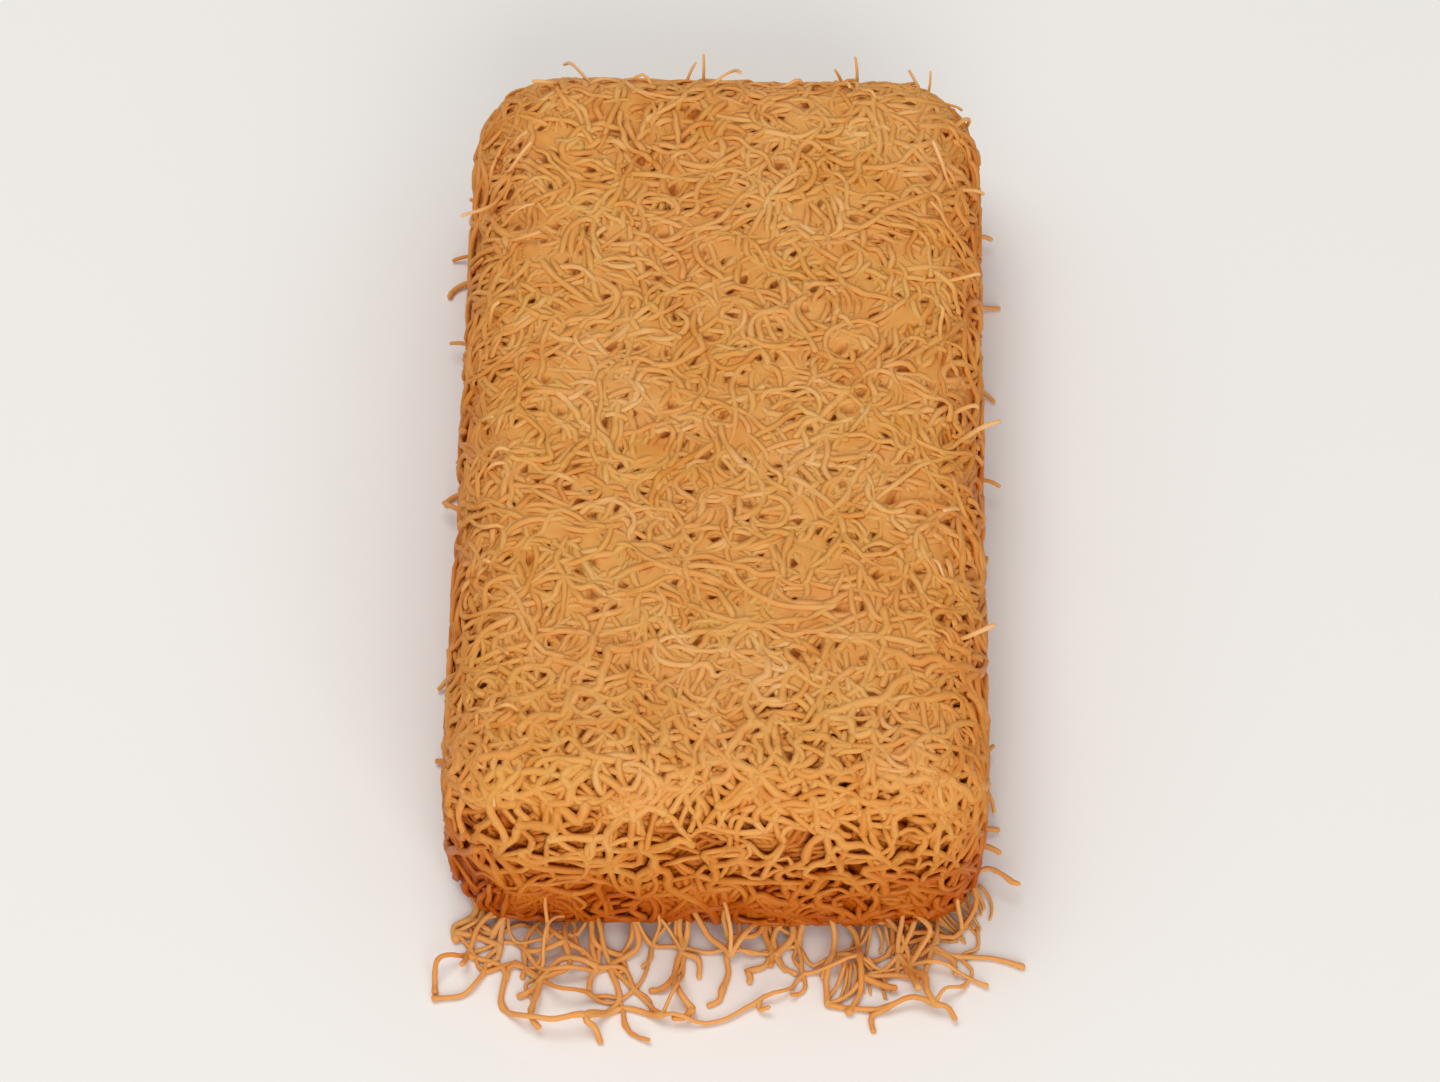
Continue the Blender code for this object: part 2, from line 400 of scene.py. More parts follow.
@dataclass(frozen=True)
class PressedForm:
    """How tightly the strands lie, how deep the matted fill is, how browned it all is and where shade is
    painted into its tone.
    """

    block: PressedBlock
    front_run: float = 34 * MM  # how far back from the front end the top is looser
    front_crowding: float = 1.5  # above 1, places on it crowd towards its front end
    rim_share: float = 0.5  # of the top's roll, which strands on the rim are laid over
    matted: float = 0.06  # the looseness of the middle of the top; the next five add to it
    looser_walls: float = 0.4
    looser_rims: float = 0.22
    looser_front: float = 0.45
    looser_front_top: float = 0.36
    looser_patches: Mottle = Mottle(15 * MM, 4, 0.14)
    rim_facing: Pair = (0.2, 0.7)  # the sideways part of the outward direction
    sinking: Pair = (0.12, 0.85)  # the looseness over which the matted fill sinks
    tight_fill: float = 0.46 * MM  # the depth of the matted fill
    loose_fill: float = 1.5 * MM
    dips: tuple[Mottle, Mottle] = (Mottle(7 * MM, 31), Mottle(1.7 * MM, 32))  # broad and fine ones
    tight_dips: Pair = in_mm(0.09, 0.05)  # how deep they are, broad and fine
    loose_dips: Pair = in_mm(0.4, 0.3)
    least_loose_fill: float = 1.05 * MM
    filled_foot: float = 0.25  # the share by which the fill is less deep at the foot
    film_fill: float = 0.6 * MM
    film_squash: float = 1.4  # width over height
    film_edge: float = 0.6  # where its edge starts to fade, as a share of its radius
    film_rag: Mottle = Mottle(4 * MM, 33, 0.15)  # of the edge
    film_facing: Pair = (0.3, 0.6)  # the forward part of the outward direction
    films: tuple[tuple[float, float, float], ...] = (  # low on the front: side place, height and radius
        (-3.5 * MM, 6.5 * MM, 6.5 * MM),
        (6.5 * MM, 4.5 * MM, 4.5 * MM),
        (-19 * MM, 6.5 * MM, 5.5 * MM),
        (22 * MM, 7.5 * MM, 5 * MM),
    )
    top_tone: float = 0.72  # the tone of the flat top; places deeper, on the walls, low down and on the side rims are darker, mostly as painted shade
    # painted shade, with some deeper amber of the walls' own: the walls are darker than the top
    wall_browning_and_shade: float = 0.06
    # painted shade: the rims at the left and right sides are darker
    rim_painted_shade: float = 0.06
    # painted shade, with some darker amber of the pastry's own low down: the walls are darker towards the
    # foot
    foot_browning_and_shade: float = 0.52
    darker_below: float = 0.75  # of the height, on the walls, below which they grow darker
    shaded_rim_facing: Pair = (0.3, 0.8)  # the sideways part of the outward direction, over which the painted rim shade comes in
    sunk_painted_shade: Pair = (0.1, 0.3)  # painted shade: how much darker for each millimetre under the skin, where matted and where loosest
    shaded_rim_run: Pair = in_mm(4, 14)  # how far in from the sides the painted rim shade reaches
    tone_blotches: tuple[Mottle, ...] = (Mottle(16 * MM, 5, 0.035), Mottle(5 * MM, 6, 0.04))
    speckle: Mottle = Mottle(2.4 * MM, 10, 0.03)  # small paler and darker places along the strands
    middle_tint: float = 0.5
    tint_blotches: tuple[Mottle, ...] = (Mottle(13 * MM, 8, 0.2), Mottle(5 * MM, 7, 0.14))

    def spots(self, zone: Zone, count: int, rng: Chance) -> Array:
        """Spreads places over a zone.

        Args:
            zone: The part of the skin.
            count: How many places.
            rng: The seeded source of chance.

        Returns:
            Places on the skin, one a row.
        """
        pairs = even_pairs(count, rng)
        block = self.block
        if zone is Zone.WALL:
            points, _ = block.edge(pairs[:, 0])
            points[:, 2] = block.height * pairs[:, 1]
        elif zone is Zone.RIM:
            points, outs = block.edge(pairs[:, 0] * (1 - block.width / block.perimeter()))
            points[:, 2] = block.height
            points -= outs * (self.rim_share * block.top_radius * pairs[:, 1:])
        else:
            if zone is Zone.FRONT_TOP:
                pairs[:, 1] = self.front_run / block.length * pairs[:, 1] ** self.front_crowding
            points = np.zeros((count, 3))
            points[:, :2] = (pairs - 0.5) * (block.width, block.length)
            points[:, 2] = 0.0 if zone is Zone.BASE else block.height
        return block.on_skin(points)

    def looseness(self, points: Array, normals: Array) -> Array:
        """From 0 where the strands are matted flat to 1 where they are loosest, at the front."""
        near_front = 1 - ease(points[:, 1] + self.block.length / 2, 0.0, self.front_run)
        loose = self.matted + self.looser_walls * (1 - np.clip(np.abs(normals[:, 2]), 0, 1))
        loose = loose + self.looser_rims * ease(np.abs(normals[:, 0]), *self.rim_facing)
        loose = loose + self.looser_front * np.clip(-normals[:, 1], 0, 1)
        loose = loose + self.looser_front_top * (near_front * (normals[:, 2] > -0.5))
        return np.clip(loose + self.looser_patches.at(points), 0, 1)

    def lowness(self, points: Array, below: float = 0.7) -> Array:
        """From 0 above a share of the height to 1 at the foot."""
        return 1 - ease(points[:, 2], 0.0, below * self.block.height)

    def fill_depth(self, points: Array, normals: Array) -> Array:
        """How deep under the skin the matted fill between the strands lies."""
        dips = np.stack([kind.at(points) for kind in self.dips], axis=1)
        tight = self.tight_fill + dips @ self.tight_dips
        deep = self.loose_fill * (1 - self.filled_foot * self.lowness(points))
        deep = np.maximum(deep + dips @ self.loose_dips, self.least_loose_fill)
        fill = between((tight, deep), ease(self.looseness(points, normals), *self.sinking))
        return between((fill, self.film_fill), self.filmed(points, normals))

    def filmed(self, points: Array, normals: Array) -> Array:
        """From 0 to 1 where a film of syrup and melted strands closes the gaps low on the front."""
        share = np.zeros(len(points))
        ragged = self.film_rag.at(points)
        for side, height, radius in self.films:
            away = np.hypot(points[:, 0] - side, self.film_squash * (points[:, 2] - height))
            share = np.maximum(share, 1 - ease(away / radius + ragged, self.film_edge, 1.0))
        return share * ease(-normals[:, 1], *self.film_facing)

    def tint(self, points: Array) -> Array:
        """From 0 for pinker to 1 for yellower, before chance is added."""
        return self.middle_tint + sum(blotches.at(points) for blotches in self.tint_blotches)

    def tone(self, points: Array, normals: Array, depth: Array) -> Array:
        """From 0 for the deepest amber to 1 for the palest strands, before chance is added; places deeper,
        on the walls, low down and on the side rims are darker, mostly as painted shade.
        """
        walls = 1 - np.clip(normals[:, 2], 0, 1)
        narrow, wide = self.shaded_rim_run
        sides = ease(np.abs(points[:, 0]), self.block.width / 2 - wide, self.block.width / 2 - narrow)
        # painted shade: the walls, the side rims, the foot and what lies deeper are made darker; low on
        # the walls this is partly the pastry's own darker amber
        browned_and_shaded = self.wall_browning_and_shade * walls
        browned_and_shaded = browned_and_shaded + self.rim_painted_shade * (ease(np.abs(normals[:, 0]), *self.shaded_rim_facing) + sides)
        browned_and_shaded = browned_and_shaded + self.foot_browning_and_shade * self.lowness(points, self.darker_below) * walls
        browned_and_shaded = browned_and_shaded + depth / MM * between(self.sunk_painted_shade, self.looseness(points, normals))
        return self.top_tone - browned_and_shaded + sum(blotches.at(points) for blotches in self.tone_blotches)


@dataclass
class PitField:
    """The small holes that are left between the fused strands of the top."""

    block: PressedBlock
    count: int = 560
    half_length: float = 0.75 * MM
    half_width: float = 0.38 * MM
    uneven: Pair = (0.45, 1.2)  # their sizes, as shares of these
    room: Pair = (0.7, 1.2)  # that strands leave, across and along, as shares of their radius
    depth: float = 1.2 * MM
    steepness: float = 1.5  # of their sides
    seed: int = 50

    def __post_init__(self) -> None:
        """Scatters the pits, with their directions and sizes."""
        rng = np.random.default_rng(self.seed)
        self.centres = np.zeros((self.count, 3))
        sides = self.block.width, self.block.length
        self.centres[:, :2] = (even_pairs(self.count, rng) - 0.5) * sides
        angles = rng.uniform(0, math.pi, self.count)
        self.ways = np.stack([np.cos(angles), np.sin(angles), 0 * angles], axis=1)
        self.sizes = rng.uniform(*self.uneven, self.count)
        self.tree = nearness_tree(self.centres)

    def nearest(self, points: Array) -> tuple[Array, Array]:
        """Finds the nearest pit, as seen from above.

        Args:
            points: Places, one a row.

        Returns:
            The level offset from the pit's centre, and the pit's number.
        """
        level = points * (1, 1, 0)
        numbers = np.array([self.tree.find(point)[1] for point in level])
        return level - self.centres[numbers], numbers

    def share(self, points: Array) -> Array:
        """From 1 in the middle of a pit to 0 well outside it."""
        offsets, numbers = self.nearest(points)
        ways = self.ways[numbers]
        along = (offsets * ways).sum(1) / (self.half_length * self.sizes[numbers])
        across = np.cross(ways, offsets)[:, 2] / (self.half_width * self.sizes[numbers])
        return np.exp(-((along**2 + across**2) ** self.steepness))

    def parted(self, points: Array, sides: Array, radius: float) -> Array:
        """Moves strands sideways so that they pass round the pits.

        Args:
            points: Places on the strands, one a row.
            sides: Unit level directions square to the strands.
            radius: The strands' radius.

        Returns:
            The moved places.
        """
        offsets, numbers = self.nearest(points)
        off = (offsets * sides).sum(1)
        along = np.sqrt(np.maximum((offsets**2).sum(1) - off**2, 0))
        slant = (self.ways[numbers] * sides).sum(1) ** 2
        squares = self.half_width**2, self.half_length**2
        clear = self.sizes[numbers] * np.sqrt(between(squares, slant)) + self.room[0] * radius
        reach = self.sizes[numbers] * np.sqrt(between(squares[::-1], slant)) + self.room[1] * radius
        push = clear * np.clip(1 - np.abs(off) / (2 * clear), 0, 1) * np.exp(-((along / reach) ** 2))
        return points + sides * (np.where(off > 0, 1.0, -1.0) * push)[:, None]


# ---------------------------------------------------------------- strands


@dataclass(frozen=True)
class StrandHabit:
    """How one kind of strand is spun, cut and laid."""

    name: str
    zone: Zone
    count: int
    length: float
    step: float
    seed: int
    depth: Pair  # mean depth of the centre line, where tight and where loose
    swing: Pair = in_mm(0.3, 0.8)  # over and under other strands
    wave: float = 7 * MM  # length of one over and under
    tuck: float = 1.2 * MM  # of its ends, deeper than the rest
    lift: float = 0.0  # of its far end, out of the skin
    curl: float = 5.0 * MM  # the usual radius of its bends
    tightest: float = 1.7 * MM
    curl_run: float = 6.0 * MM  # how far a bend keeps on
    bundle: int = 1  # how many lie side by side
    kinks: float = 0.5  # the share of its bends that are sudden
    level: float = 0.0  # from 0 for any direction to 1 for along the wall
    proud: float = 0.0  # the share of its thickness that its centre line stays above the fill
    thinned: float = 0.0  # the share that is left out where the form is loosest
    bare: float = 0.0  # if set, they are laid only where no strand is nearer than this
    radius: float = 0.43 * MM
    squash: float = 0.85  # its thickness as a share of its width
    sides: int = 5
    tone_shift: float = 0.0


@dataclass
class StrandBatch:
    """Centre lines of many strands with what their meshes need, as arrays of strand by point."""

    centres: Array
    ups: Array
    radii: Array
    tints: Array
    tones: Array
    squash: float = 0.95
    sides: int = 5
    end_length: float = 0.5  # of the blunt end, as a share of the radius
    end_radius: float = 0.55
    round_tint_and_painted_shade: Pair = (0.02, 0.04)  # how the tint turns from side to side round the strand, and painted shade: the tone is lighter on its outward side and darker on its inward side

    def with_ends(self) -> "StrandBatch":
        """The batch with a small extra ring past each end, so that the strands end bluntly."""
        grown = {name: getattr(self, name) for name in ("centres", "ups", "radii", "tints", "tones")}
        grown = {name: np.concatenate([v[:, :1], v, v[:, -1:]], axis=1) for name, v in grown.items()}
        for end, inside in ((0, 1), (-1, -2)):
            way = unit(self.centres[:, end] - self.centres[:, inside])
            grown["centres"][:, end] += way * self.radii[:, end, None] * self.end_length
            grown["radii"][:, end] *= self.end_radius
        return replace(self, **grown)

    def rings(self) -> tuple[Array, Array]:
        """Places the rings of points round the centre lines.

        Returns:
            Places by strand, point and side, and their spots on the palette.
        """
        ways = unit(np.gradient(self.centres, axis=1))
        across = unit(np.cross(ways, self.ups))
        tops = np.cross(across, ways)
        turns = 2 * math.pi * (np.arange(self.sides) + 0.25) / self.sides
        spread = across[:, :, None] * np.cos(turns)[:, None]
        spread = spread + tops[:, :, None] * (np.sin(turns) * self.squash)[:, None]
        places = self.centres[:, :, None] + spread * self.radii[:, :, None, None]
        # painted shade round each strand: lighter outward, darker inward; the tint turns side to side
        tints = self.tints[:, :, None] + self.round_tint_and_painted_shade[0] * np.cos(turns)
        tones = self.tones[:, :, None] + self.round_tint_and_painted_shade[1] * np.sin(turns)
        return places, on_palette(tints, tones)

    def mesh(self, name: str) -> bpy.types.Mesh:
        """Builds one joined mesh of closed tubes.

        Args:
            name: The mesh's name.

        Returns:
            The mesh, with its palette map.
        """
        places, palette = self.with_ends().rings()
        strands, rows, sides = places.shape[:3]
        numbers = np.arange(strands * rows * sides).reshape(strands, rows, sides)
        beside = np.roll(numbers, -1, axis=2)
        walls = np.stack([numbers[:, :-1], numbers[:, 1:], beside[:, 1:], beside[:, :-1]], axis=-1)
        caps = np.stack([numbers[:, 0], numbers[:, -1, ::-1]], axis=1)
        corners = np.concatenate([walls.ravel(), caps.ravel()])
        sizes = np.concatenate([np.full(walls.size // 4, 4), np.full(strands * 2, sides)])
        return mesh_from_arrays(name, places.reshape(-1, 3), corners, sizes, palette.reshape(-1, 2))


@dataclass
class Layer:
    """One layer of strands laid over the block."""

    form: PressedForm
    habit: StrandHabit
    pits: PitField
    laid: Array  # points on the skin where strands that are already laid show
    shared_bend: float = 0.95  # of the strands of a bundle, as a share of a usual bend
    own_bend: float = 0.3  # of each of them
    uneven_steps: Pair = (0.75, 1.25)
    abreast: float = 2.1  # from strand to strand in a bundle, as a share of their radius
    weave: Pair = (0.75, 0.45)  # over and under along a strand, and from strand to strand
    uneven_waves: Pair = (0.6, 1.5)
    tuck_power: int = 5  # how late a strand turns down at its ends
    lift_power: float = 1.6
    strand_tones: float = 0.065  # how much strands differ in tone
    rare_tones: float = 0.4  # the share of that which a few strands have
    tone_limits: Pair = (-2.5, 2.0)  # of that, as multiples
    strand_tints: float = 0.13
    grain: float = 0.025  # of the tone, from point to point
    thickness: Pair = (0.82, 1.12)  # from strand to strand
    lumps: Pair = (0.93, 1.07)  # of the thickness, from point to point
    swells: Mottle = Mottle(3 * MM, 9, 0.09)  # of the thickness, along a strand

    def __post_init__(self) -> None:
        """Seeds this layer's chance."""
        self.rng = np.random.default_rng(self.habit.seed)

    def half_paths(self, points: Array, ways: Array, bends: Array, steps: Array, rows: int) -> Array:
        """Walks over the skin from the strands' middles.

        Args:
            points: Where the walks begin.
            ways: The directions they begin in.
            bends: The curvatures they begin with, per metre.
            steps: The length of each strand's steps.
            rows: How many steps they take.

        Returns:
            Places by strand and step, without the beginnings.
        """
        habit, block = self.habit, self.form.block
        kept = math.exp(-habit.step / habit.curl_run)
        bundles = len(points) // habit.bundle
        found = []
        for _ in range(rows):
            points = block.on_skin(points + ways * steps[:, None])
            _, normals = block.skin(points)
            ways = unit(ways - normals * (ways * normals).sum(1, keepdims=True))
            ways = turned(ways, normals, bends * steps)
            shared = np.repeat(bends_at_random(bundles, habit.kinks, self.rng), habit.bundle)
            fresh = self.shared_bend * shared + self.rng.normal(0, self.own_bend, len(bends))
            bends = kept * bends + math.sqrt(1 - kept**2) * fresh / habit.curl
            bends = np.clip(bends, -1 / habit.tightest, 1 / habit.tightest)
            found.append(points)
        return np.stack(found, axis=1)

    def middles(self) -> Array:
        """Where the strands' middles lie on the skin, or the middles of their bundles."""
        habit, rng, block = self.habit, self.rng, self.form.block
        middles = self.form.spots(habit.zone, habit.count // habit.bundle, rng)
        if habit.bare:
            tree = nearness_tree(self.laid)
            gaps = np.array([tree.find(middle)[2] for middle in middles])
            middles = rng.permutation(middles[gaps > habit.bare])
            return spaced(middles, np.full(len(middles), habit.bare))
        _, normals = block.skin(middles)
        return middles[rng.random(len(middles)) > habit.thinned * self.form.looseness(middles, normals)]

    def skin_paths(self) -> Array:
        """The strands' ways over the skin, as places by strand and point."""
        habit, rng, block = self.habit, self.rng, self.form.block
        middles = self.middles()
        _, normals = block.skin(middles)
        bundles = len(middles)
        towards = (1 - habit.level) * unit(rng.normal(size=normals.shape)) + habit.level * UP
        ways = unit(np.cross(normals, towards))
        offsets = (np.arange(habit.bundle) - (habit.bundle - 1) / 2) * self.abreast * habit.radius
        beside = np.cross(normals, ways)[:, None] * offsets[:, None]
        middles = block.on_skin((middles[:, None] + beside).reshape(-1, 3))
        ways = np.repeat(ways, habit.bundle, axis=0)
        bends = np.repeat(rng.normal(0, 1 / habit.curl, bundles), habit.bundle)
        steps = habit.step * rng.uniform(*self.uneven_steps, len(middles))
        half = round(habit.length / habit.step / 2)
        ahead = self.half_paths(middles, ways, bends, steps, half)
        behind = self.half_paths(middles, -ways, -bends, steps, half)
        return np.concatenate([behind[:, ::-1], middles[:, None], ahead], axis=1)

    def depths(self, looseness: Array, fill: Array) -> Array:
        """How deep each point of each strand lies under the skin.

        Args:
            looseness: How loose the form is, by strand and point.
            fill: How deep the matted fill lies there.

        Returns:
            Depths of the centre lines; negative where a strand lifts off.
        """
        habit, rng = self.habit, self.rng
        strands, rows = looseness.shape
        share = np.linspace(-1, 1, rows)
        to_start, to_end = np.clip(-share, 0, 1), np.clip(share, 0, 1)
        tempo = habit.length / habit.wave * math.pi * rng.uniform(*self.uneven_waves, (strands, 1))
        phase = rng.uniform(0, 2 * math.pi, (strands, 1))
        weave = self.weave[0] * np.sin(tempo * share + phase)
        weave = weave + rng.normal(0, self.weave[1], (strands, 1))
        tucks = habit.tuck * rng.uniform(0.0, 1.0, (strands, 2))
        tuck = tucks[:, :1] * to_start**self.tuck_power + tucks[:, 1:] * to_end**self.tuck_power
        thickness = habit.radius * habit.squash
        depth = between(habit.depth, looseness) + between(habit.swing, looseness) * weave
        depth = np.minimum(depth, fill - habit.proud * thickness) + tuck
        lifts = habit.lift * rng.random((strands, 1)) ** 2 * to_end**self.lift_power
        return np.maximum(depth, thickness) - lifts

    def parted(self, paths: Array) -> Array:
        """The strands' ways, led round the pits where they lie on the top."""
        flat = paths.reshape(-1, 3)
        sides = unit(np.cross(UP, np.gradient(paths, axis=1))).reshape(-1, 3)
        parted = self.pits.parted(flat, sides, self.habit.radius)
        on_top = flat[:, 2:] > self.form.block.height - 2 * MM
        return smoothed(np.where(on_top, parted, flat).reshape(paths.shape))

    def batch(self) -> StrandBatch:
        """Lays the strands.

        Returns:
            Their centre lines and finish.
        """
        habit, form, rng = self.habit, self.form, self.rng
        paths = self.skin_paths()
        if habit.zone is not Zone.BASE:
            paths = self.parted(paths)
        shape = paths.shape[:2]
        flat = paths.reshape(-1, 3)
        _, normals = form.block.skin(flat)
        looseness, fill = form.looseness(flat, normals), form.fill_depth(flat, normals)
        depths = self.depths(looseness.reshape(shape), fill.reshape(shape))
        tones = form.tone(flat, normals, depths.ravel()).reshape(shape) + habit.tone_shift
        own = np.clip(bends_at_random(shape[0], self.rare_tones, rng), *self.tone_limits)
        tones += self.strand_tones * own[:, None]
        tones += rng.normal(0, self.grain, shape) + form.speckle.at(flat).reshape(shape)
        tints = form.tint(flat).reshape(shape) + rng.normal(0, self.strand_tints, (shape[0], 1))
        radii = uneven_radii(habit.radius, self.thickness, self.lumps, shape, rng)
        radii = radii * (1 + self.swells.at(paths))
        centres = flat - normals * depths.reshape(-1, 1)
        lowest = np.maximum(habit.radius, habit.squash * radii.ravel())
        centres[:, 2] = np.maximum(centres[:, 2], lowest)
        centres, ups = centres.reshape(paths.shape), normals.reshape(paths.shape)
        return StrandBatch(centres, ups, radii, tints, tones, habit.squash, habit.sides)


@dataclass
class FusedNet:
    """Strands that syrup and heat fused where they met, so that they make a net with open cells."""

    form: PressedForm
    farthest: float = 5.5 * MM  # from knot to knot
    straight: float = -0.45  # the cosine between two links that one strand runs through
    longest: int = 5  # how many links one strand has
    bow: float = 0.18  # sideways, as a share of a link
    uneven_gaps: Pair = (0.65, 1.5)
    radius: float = 0.37 * MM
    thickness: Pair = (0.7, 1.2)
    lumps: Pair = (0.93, 1.07)
    flare: float = 0.25  # of the radius, at a knot
    squash: float = 0.8
    rows: int = 18
    sides: int = 5
    seed: int = 60

    def __post_init__(self) -> None:
        """Seeds its chance."""
        self.rng = np.random.default_rng(self.seed)

    def outward(self, places: Array) -> Array:
        """The directions out of what the net lies on."""
        return self.form.block.skin(places)[1]

    def links(self, knots: Array, missing: Array | float) -> Array:
        """Joins neighbouring knots that no other knot lies between.

        Args:
            knots: The knots' places.
            missing: The share of links that broke, in all or for each knot.

        Returns:
            Pairs of knots by number, one a row.
        """
        gaps = np.linalg.norm(knots[:, None] - knots, axis=2)
        pairs = np.argwhere(np.triu(gaps < self.farthest, 1))
        middles = knots[pairs].mean(axis=1)
        nearest = np.linalg.norm(middles[:, None] - knots, axis=2)
        np.put_along_axis(nearest, pairs, np.inf, axis=1)
        clear = nearest.min(axis=1) > gaps[pairs[:, 0], pairs[:, 1]] / 2
        broken = (np.zeros(len(knots)) + missing)[pairs].mean(axis=1)
        return pairs[clear & (self.rng.random(len(pairs)) > broken)]

    def joined(self, knots: Array, links: Array) -> dict[tuple[int, int], int]:
        """Finds which link a strand runs on into at each knot.

        Args:
            knots: The knots' places.
            links: Pairs of knots by number.

        Returns:
            The next link's number, for each link and the knot at its end.
        """
        meeting: dict[int, list[tuple[int, Array]]] = {}
        for number, (first, second) in enumerate(links.tolist()):
            way = unit(knots[second] - knots[first])
            meeting.setdefault(first, []).append((number, way))
            meeting.setdefault(second, []).append((number, -way))
        onward: dict[tuple[int, int], int] = {}
        for knot, ends in meeting.items():
            pairs = combinations(ends, 2)
            for turn, one, two in sorted((float(a[1] @ b[1]), a[0], b[0]) for a, b in pairs):
                if turn < self.straight and (one, knot) not in onward and (two, knot) not in onward:
                    onward[one, knot], onward[two, knot] = two, one
        return onward

    def routes(self, knots: Array, links: Array) -> list[list[int]]:
        """Leads strands straight on through the knots, each no longer than is allowed.

        Args:
            knots: The knots' places.
            links: Pairs of knots by number.

        Returns:
            For each strand, the numbers of the knots that it passes.
        """
        onward = self.joined(knots, links)
        unused = dict.fromkeys(range(len(links)))
        found = []
        while unused:
            first = next(iter(unused))
            del unused[first]
            route = links[first].tolist()
            for _ in range(2):
                link = onward.get((first, route[-1]))
                while link in unused:
                    del unused[link]
                    one, two = links[link].tolist()
                    route.append(one if two == route[-1] else two)
                    link = onward.get((link, route[-1]))
                route.reverse()
            found += [route[k : k + self.longest + 1] for k in range(0, len(route) - 1, self.longest)]
        return found

    def line(self, passed: Array) -> Array:
        """Draws one strand through its knots, bowed a little between them.

        Args:
            passed: The knots' places.

        Returns:
            The strand's points, one a row.
        """
        asides = np.cross(self.outward(passed)[1:], np.diff(passed, axis=0))
        asides *= self.rng.normal(0, self.bow, (len(passed) - 1, 1))
        places = np.empty((2 * len(passed) - 1, 3))
        places[::2] = passed
        places[1::2] = (passed[:-1] + passed[1:]) / 2 + asides
        return curve_through(places, self.rows)

    def paths(self, knots: Array, links: Array) -> Array:
        """The strands' ways through the net, as places by strand and point."""
        return np.stack([self.line(knots[route]) for route in self.routes(knots, links)])

    def radii(self, paths: Array, knots: Array) -> Array:
        """How thick each strand is along its way, with a flare at the knots.

        Args:
            paths: Places by strand and point.
            knots: The knots' places.

        Returns:
            Radii by strand and point.
        """
        tree = nearness_tree(knots)
        shape = paths.shape[:2]
        away = np.array([tree.find(point)[2] for point in paths.reshape(-1, 3)]).reshape(shape)
        radii = uneven_radii(self.radius, self.thickness, self.lumps, shape, self.rng)
        return radii * (1 + self.flare * np.exp(-((away / (2 * self.radius)) ** 2)))


@dataclass
class FrontNet(FusedNet):
    """The net of strands over the front of the block."""

    tries: int = 6500
    fades: Pair = in_mm(9, 30)  # how far behind the front end it thins out
    apart: Pair = in_mm(3.2, 2.3)  # from knot to knot, at its thin edge and in front
    opened: Pair = (1.0, 1.35)  # what the gaps grow to, high up and low down
    missing: Pair = (0.2, 0.3)  # the share of links that broke, high up and low down
    depth: Pair = in_mm(0.36, 0.62)  # of the centre line, high up and low down
    uneven: Mottle = Mottle(5 * MM, 61, 0.25 * MM)  # of the depth
    farthest: float = 7 * MM
    bow: float = 0.3
    radius: float = 0.43 * MM
    thickness: Pair = (0.64, 1.4)
    strand_tones: float = 0.05
    grain: float = 0.02
    strand_tints: float = 0.1

    def knots(self) -> Array:
        """Spreads the knots over the front, closest where the net is whole."""
        form = self.form
        walls = form.spots(Zone.WALL, self.tries, self.rng)
        tops = form.spots(Zone.FRONT_TOP, self.tries // 3, self.rng)
        tried = self.rng.permutation(np.concatenate([walls, tops]))
        share = 1 - ease(tried[:, 1] + form.block.length / 2, *self.fades)
        kept = self.rng.random(len(tried)) < share
        tried, share = tried[kept], share[kept]
        gaps = between(self.apart, share) * between(self.opened, form.lowness(tried))
        return spaced(tried, gaps * self.rng.uniform(*self.uneven_gaps, len(tried)))

    def batch(self) -> StrandBatch:
        """Lays the net.

        Returns:
            Its strands' centre lines and finish.
        """
        form = self.form
        knots = self.knots()
        links = self.links(knots, between(self.missing, form.lowness(knots)))
        paths = self.paths(knots, links)
        shape = paths.shape[:2]
        flat = form.block.on_skin(paths.reshape(-1, 3))
        normals = self.outward(flat)
        depths = between(self.depth, form.lowness(flat)) + self.uneven.at(flat)
        depths = np.maximum(depths, self.radius * self.squash)
        tones = (form.tone(flat, normals, depths) + form.speckle.at(flat)).reshape(shape)
        tones = tones + for_each(0, self.strand_tones, shape, self.rng)
        tones = tones + self.rng.normal(0, self.grain, shape)
        tints = form.tint(flat).reshape(shape) + for_each(0, self.strand_tints, shape, self.rng)
        radii = self.radii(paths, knots)
        centres = (flat - normals * depths[:, None]).reshape(paths.shape)
        ups = normals.reshape(paths.shape)
        return StrandBatch(centres, ups, radii, tints, tones, self.squash, self.sides)


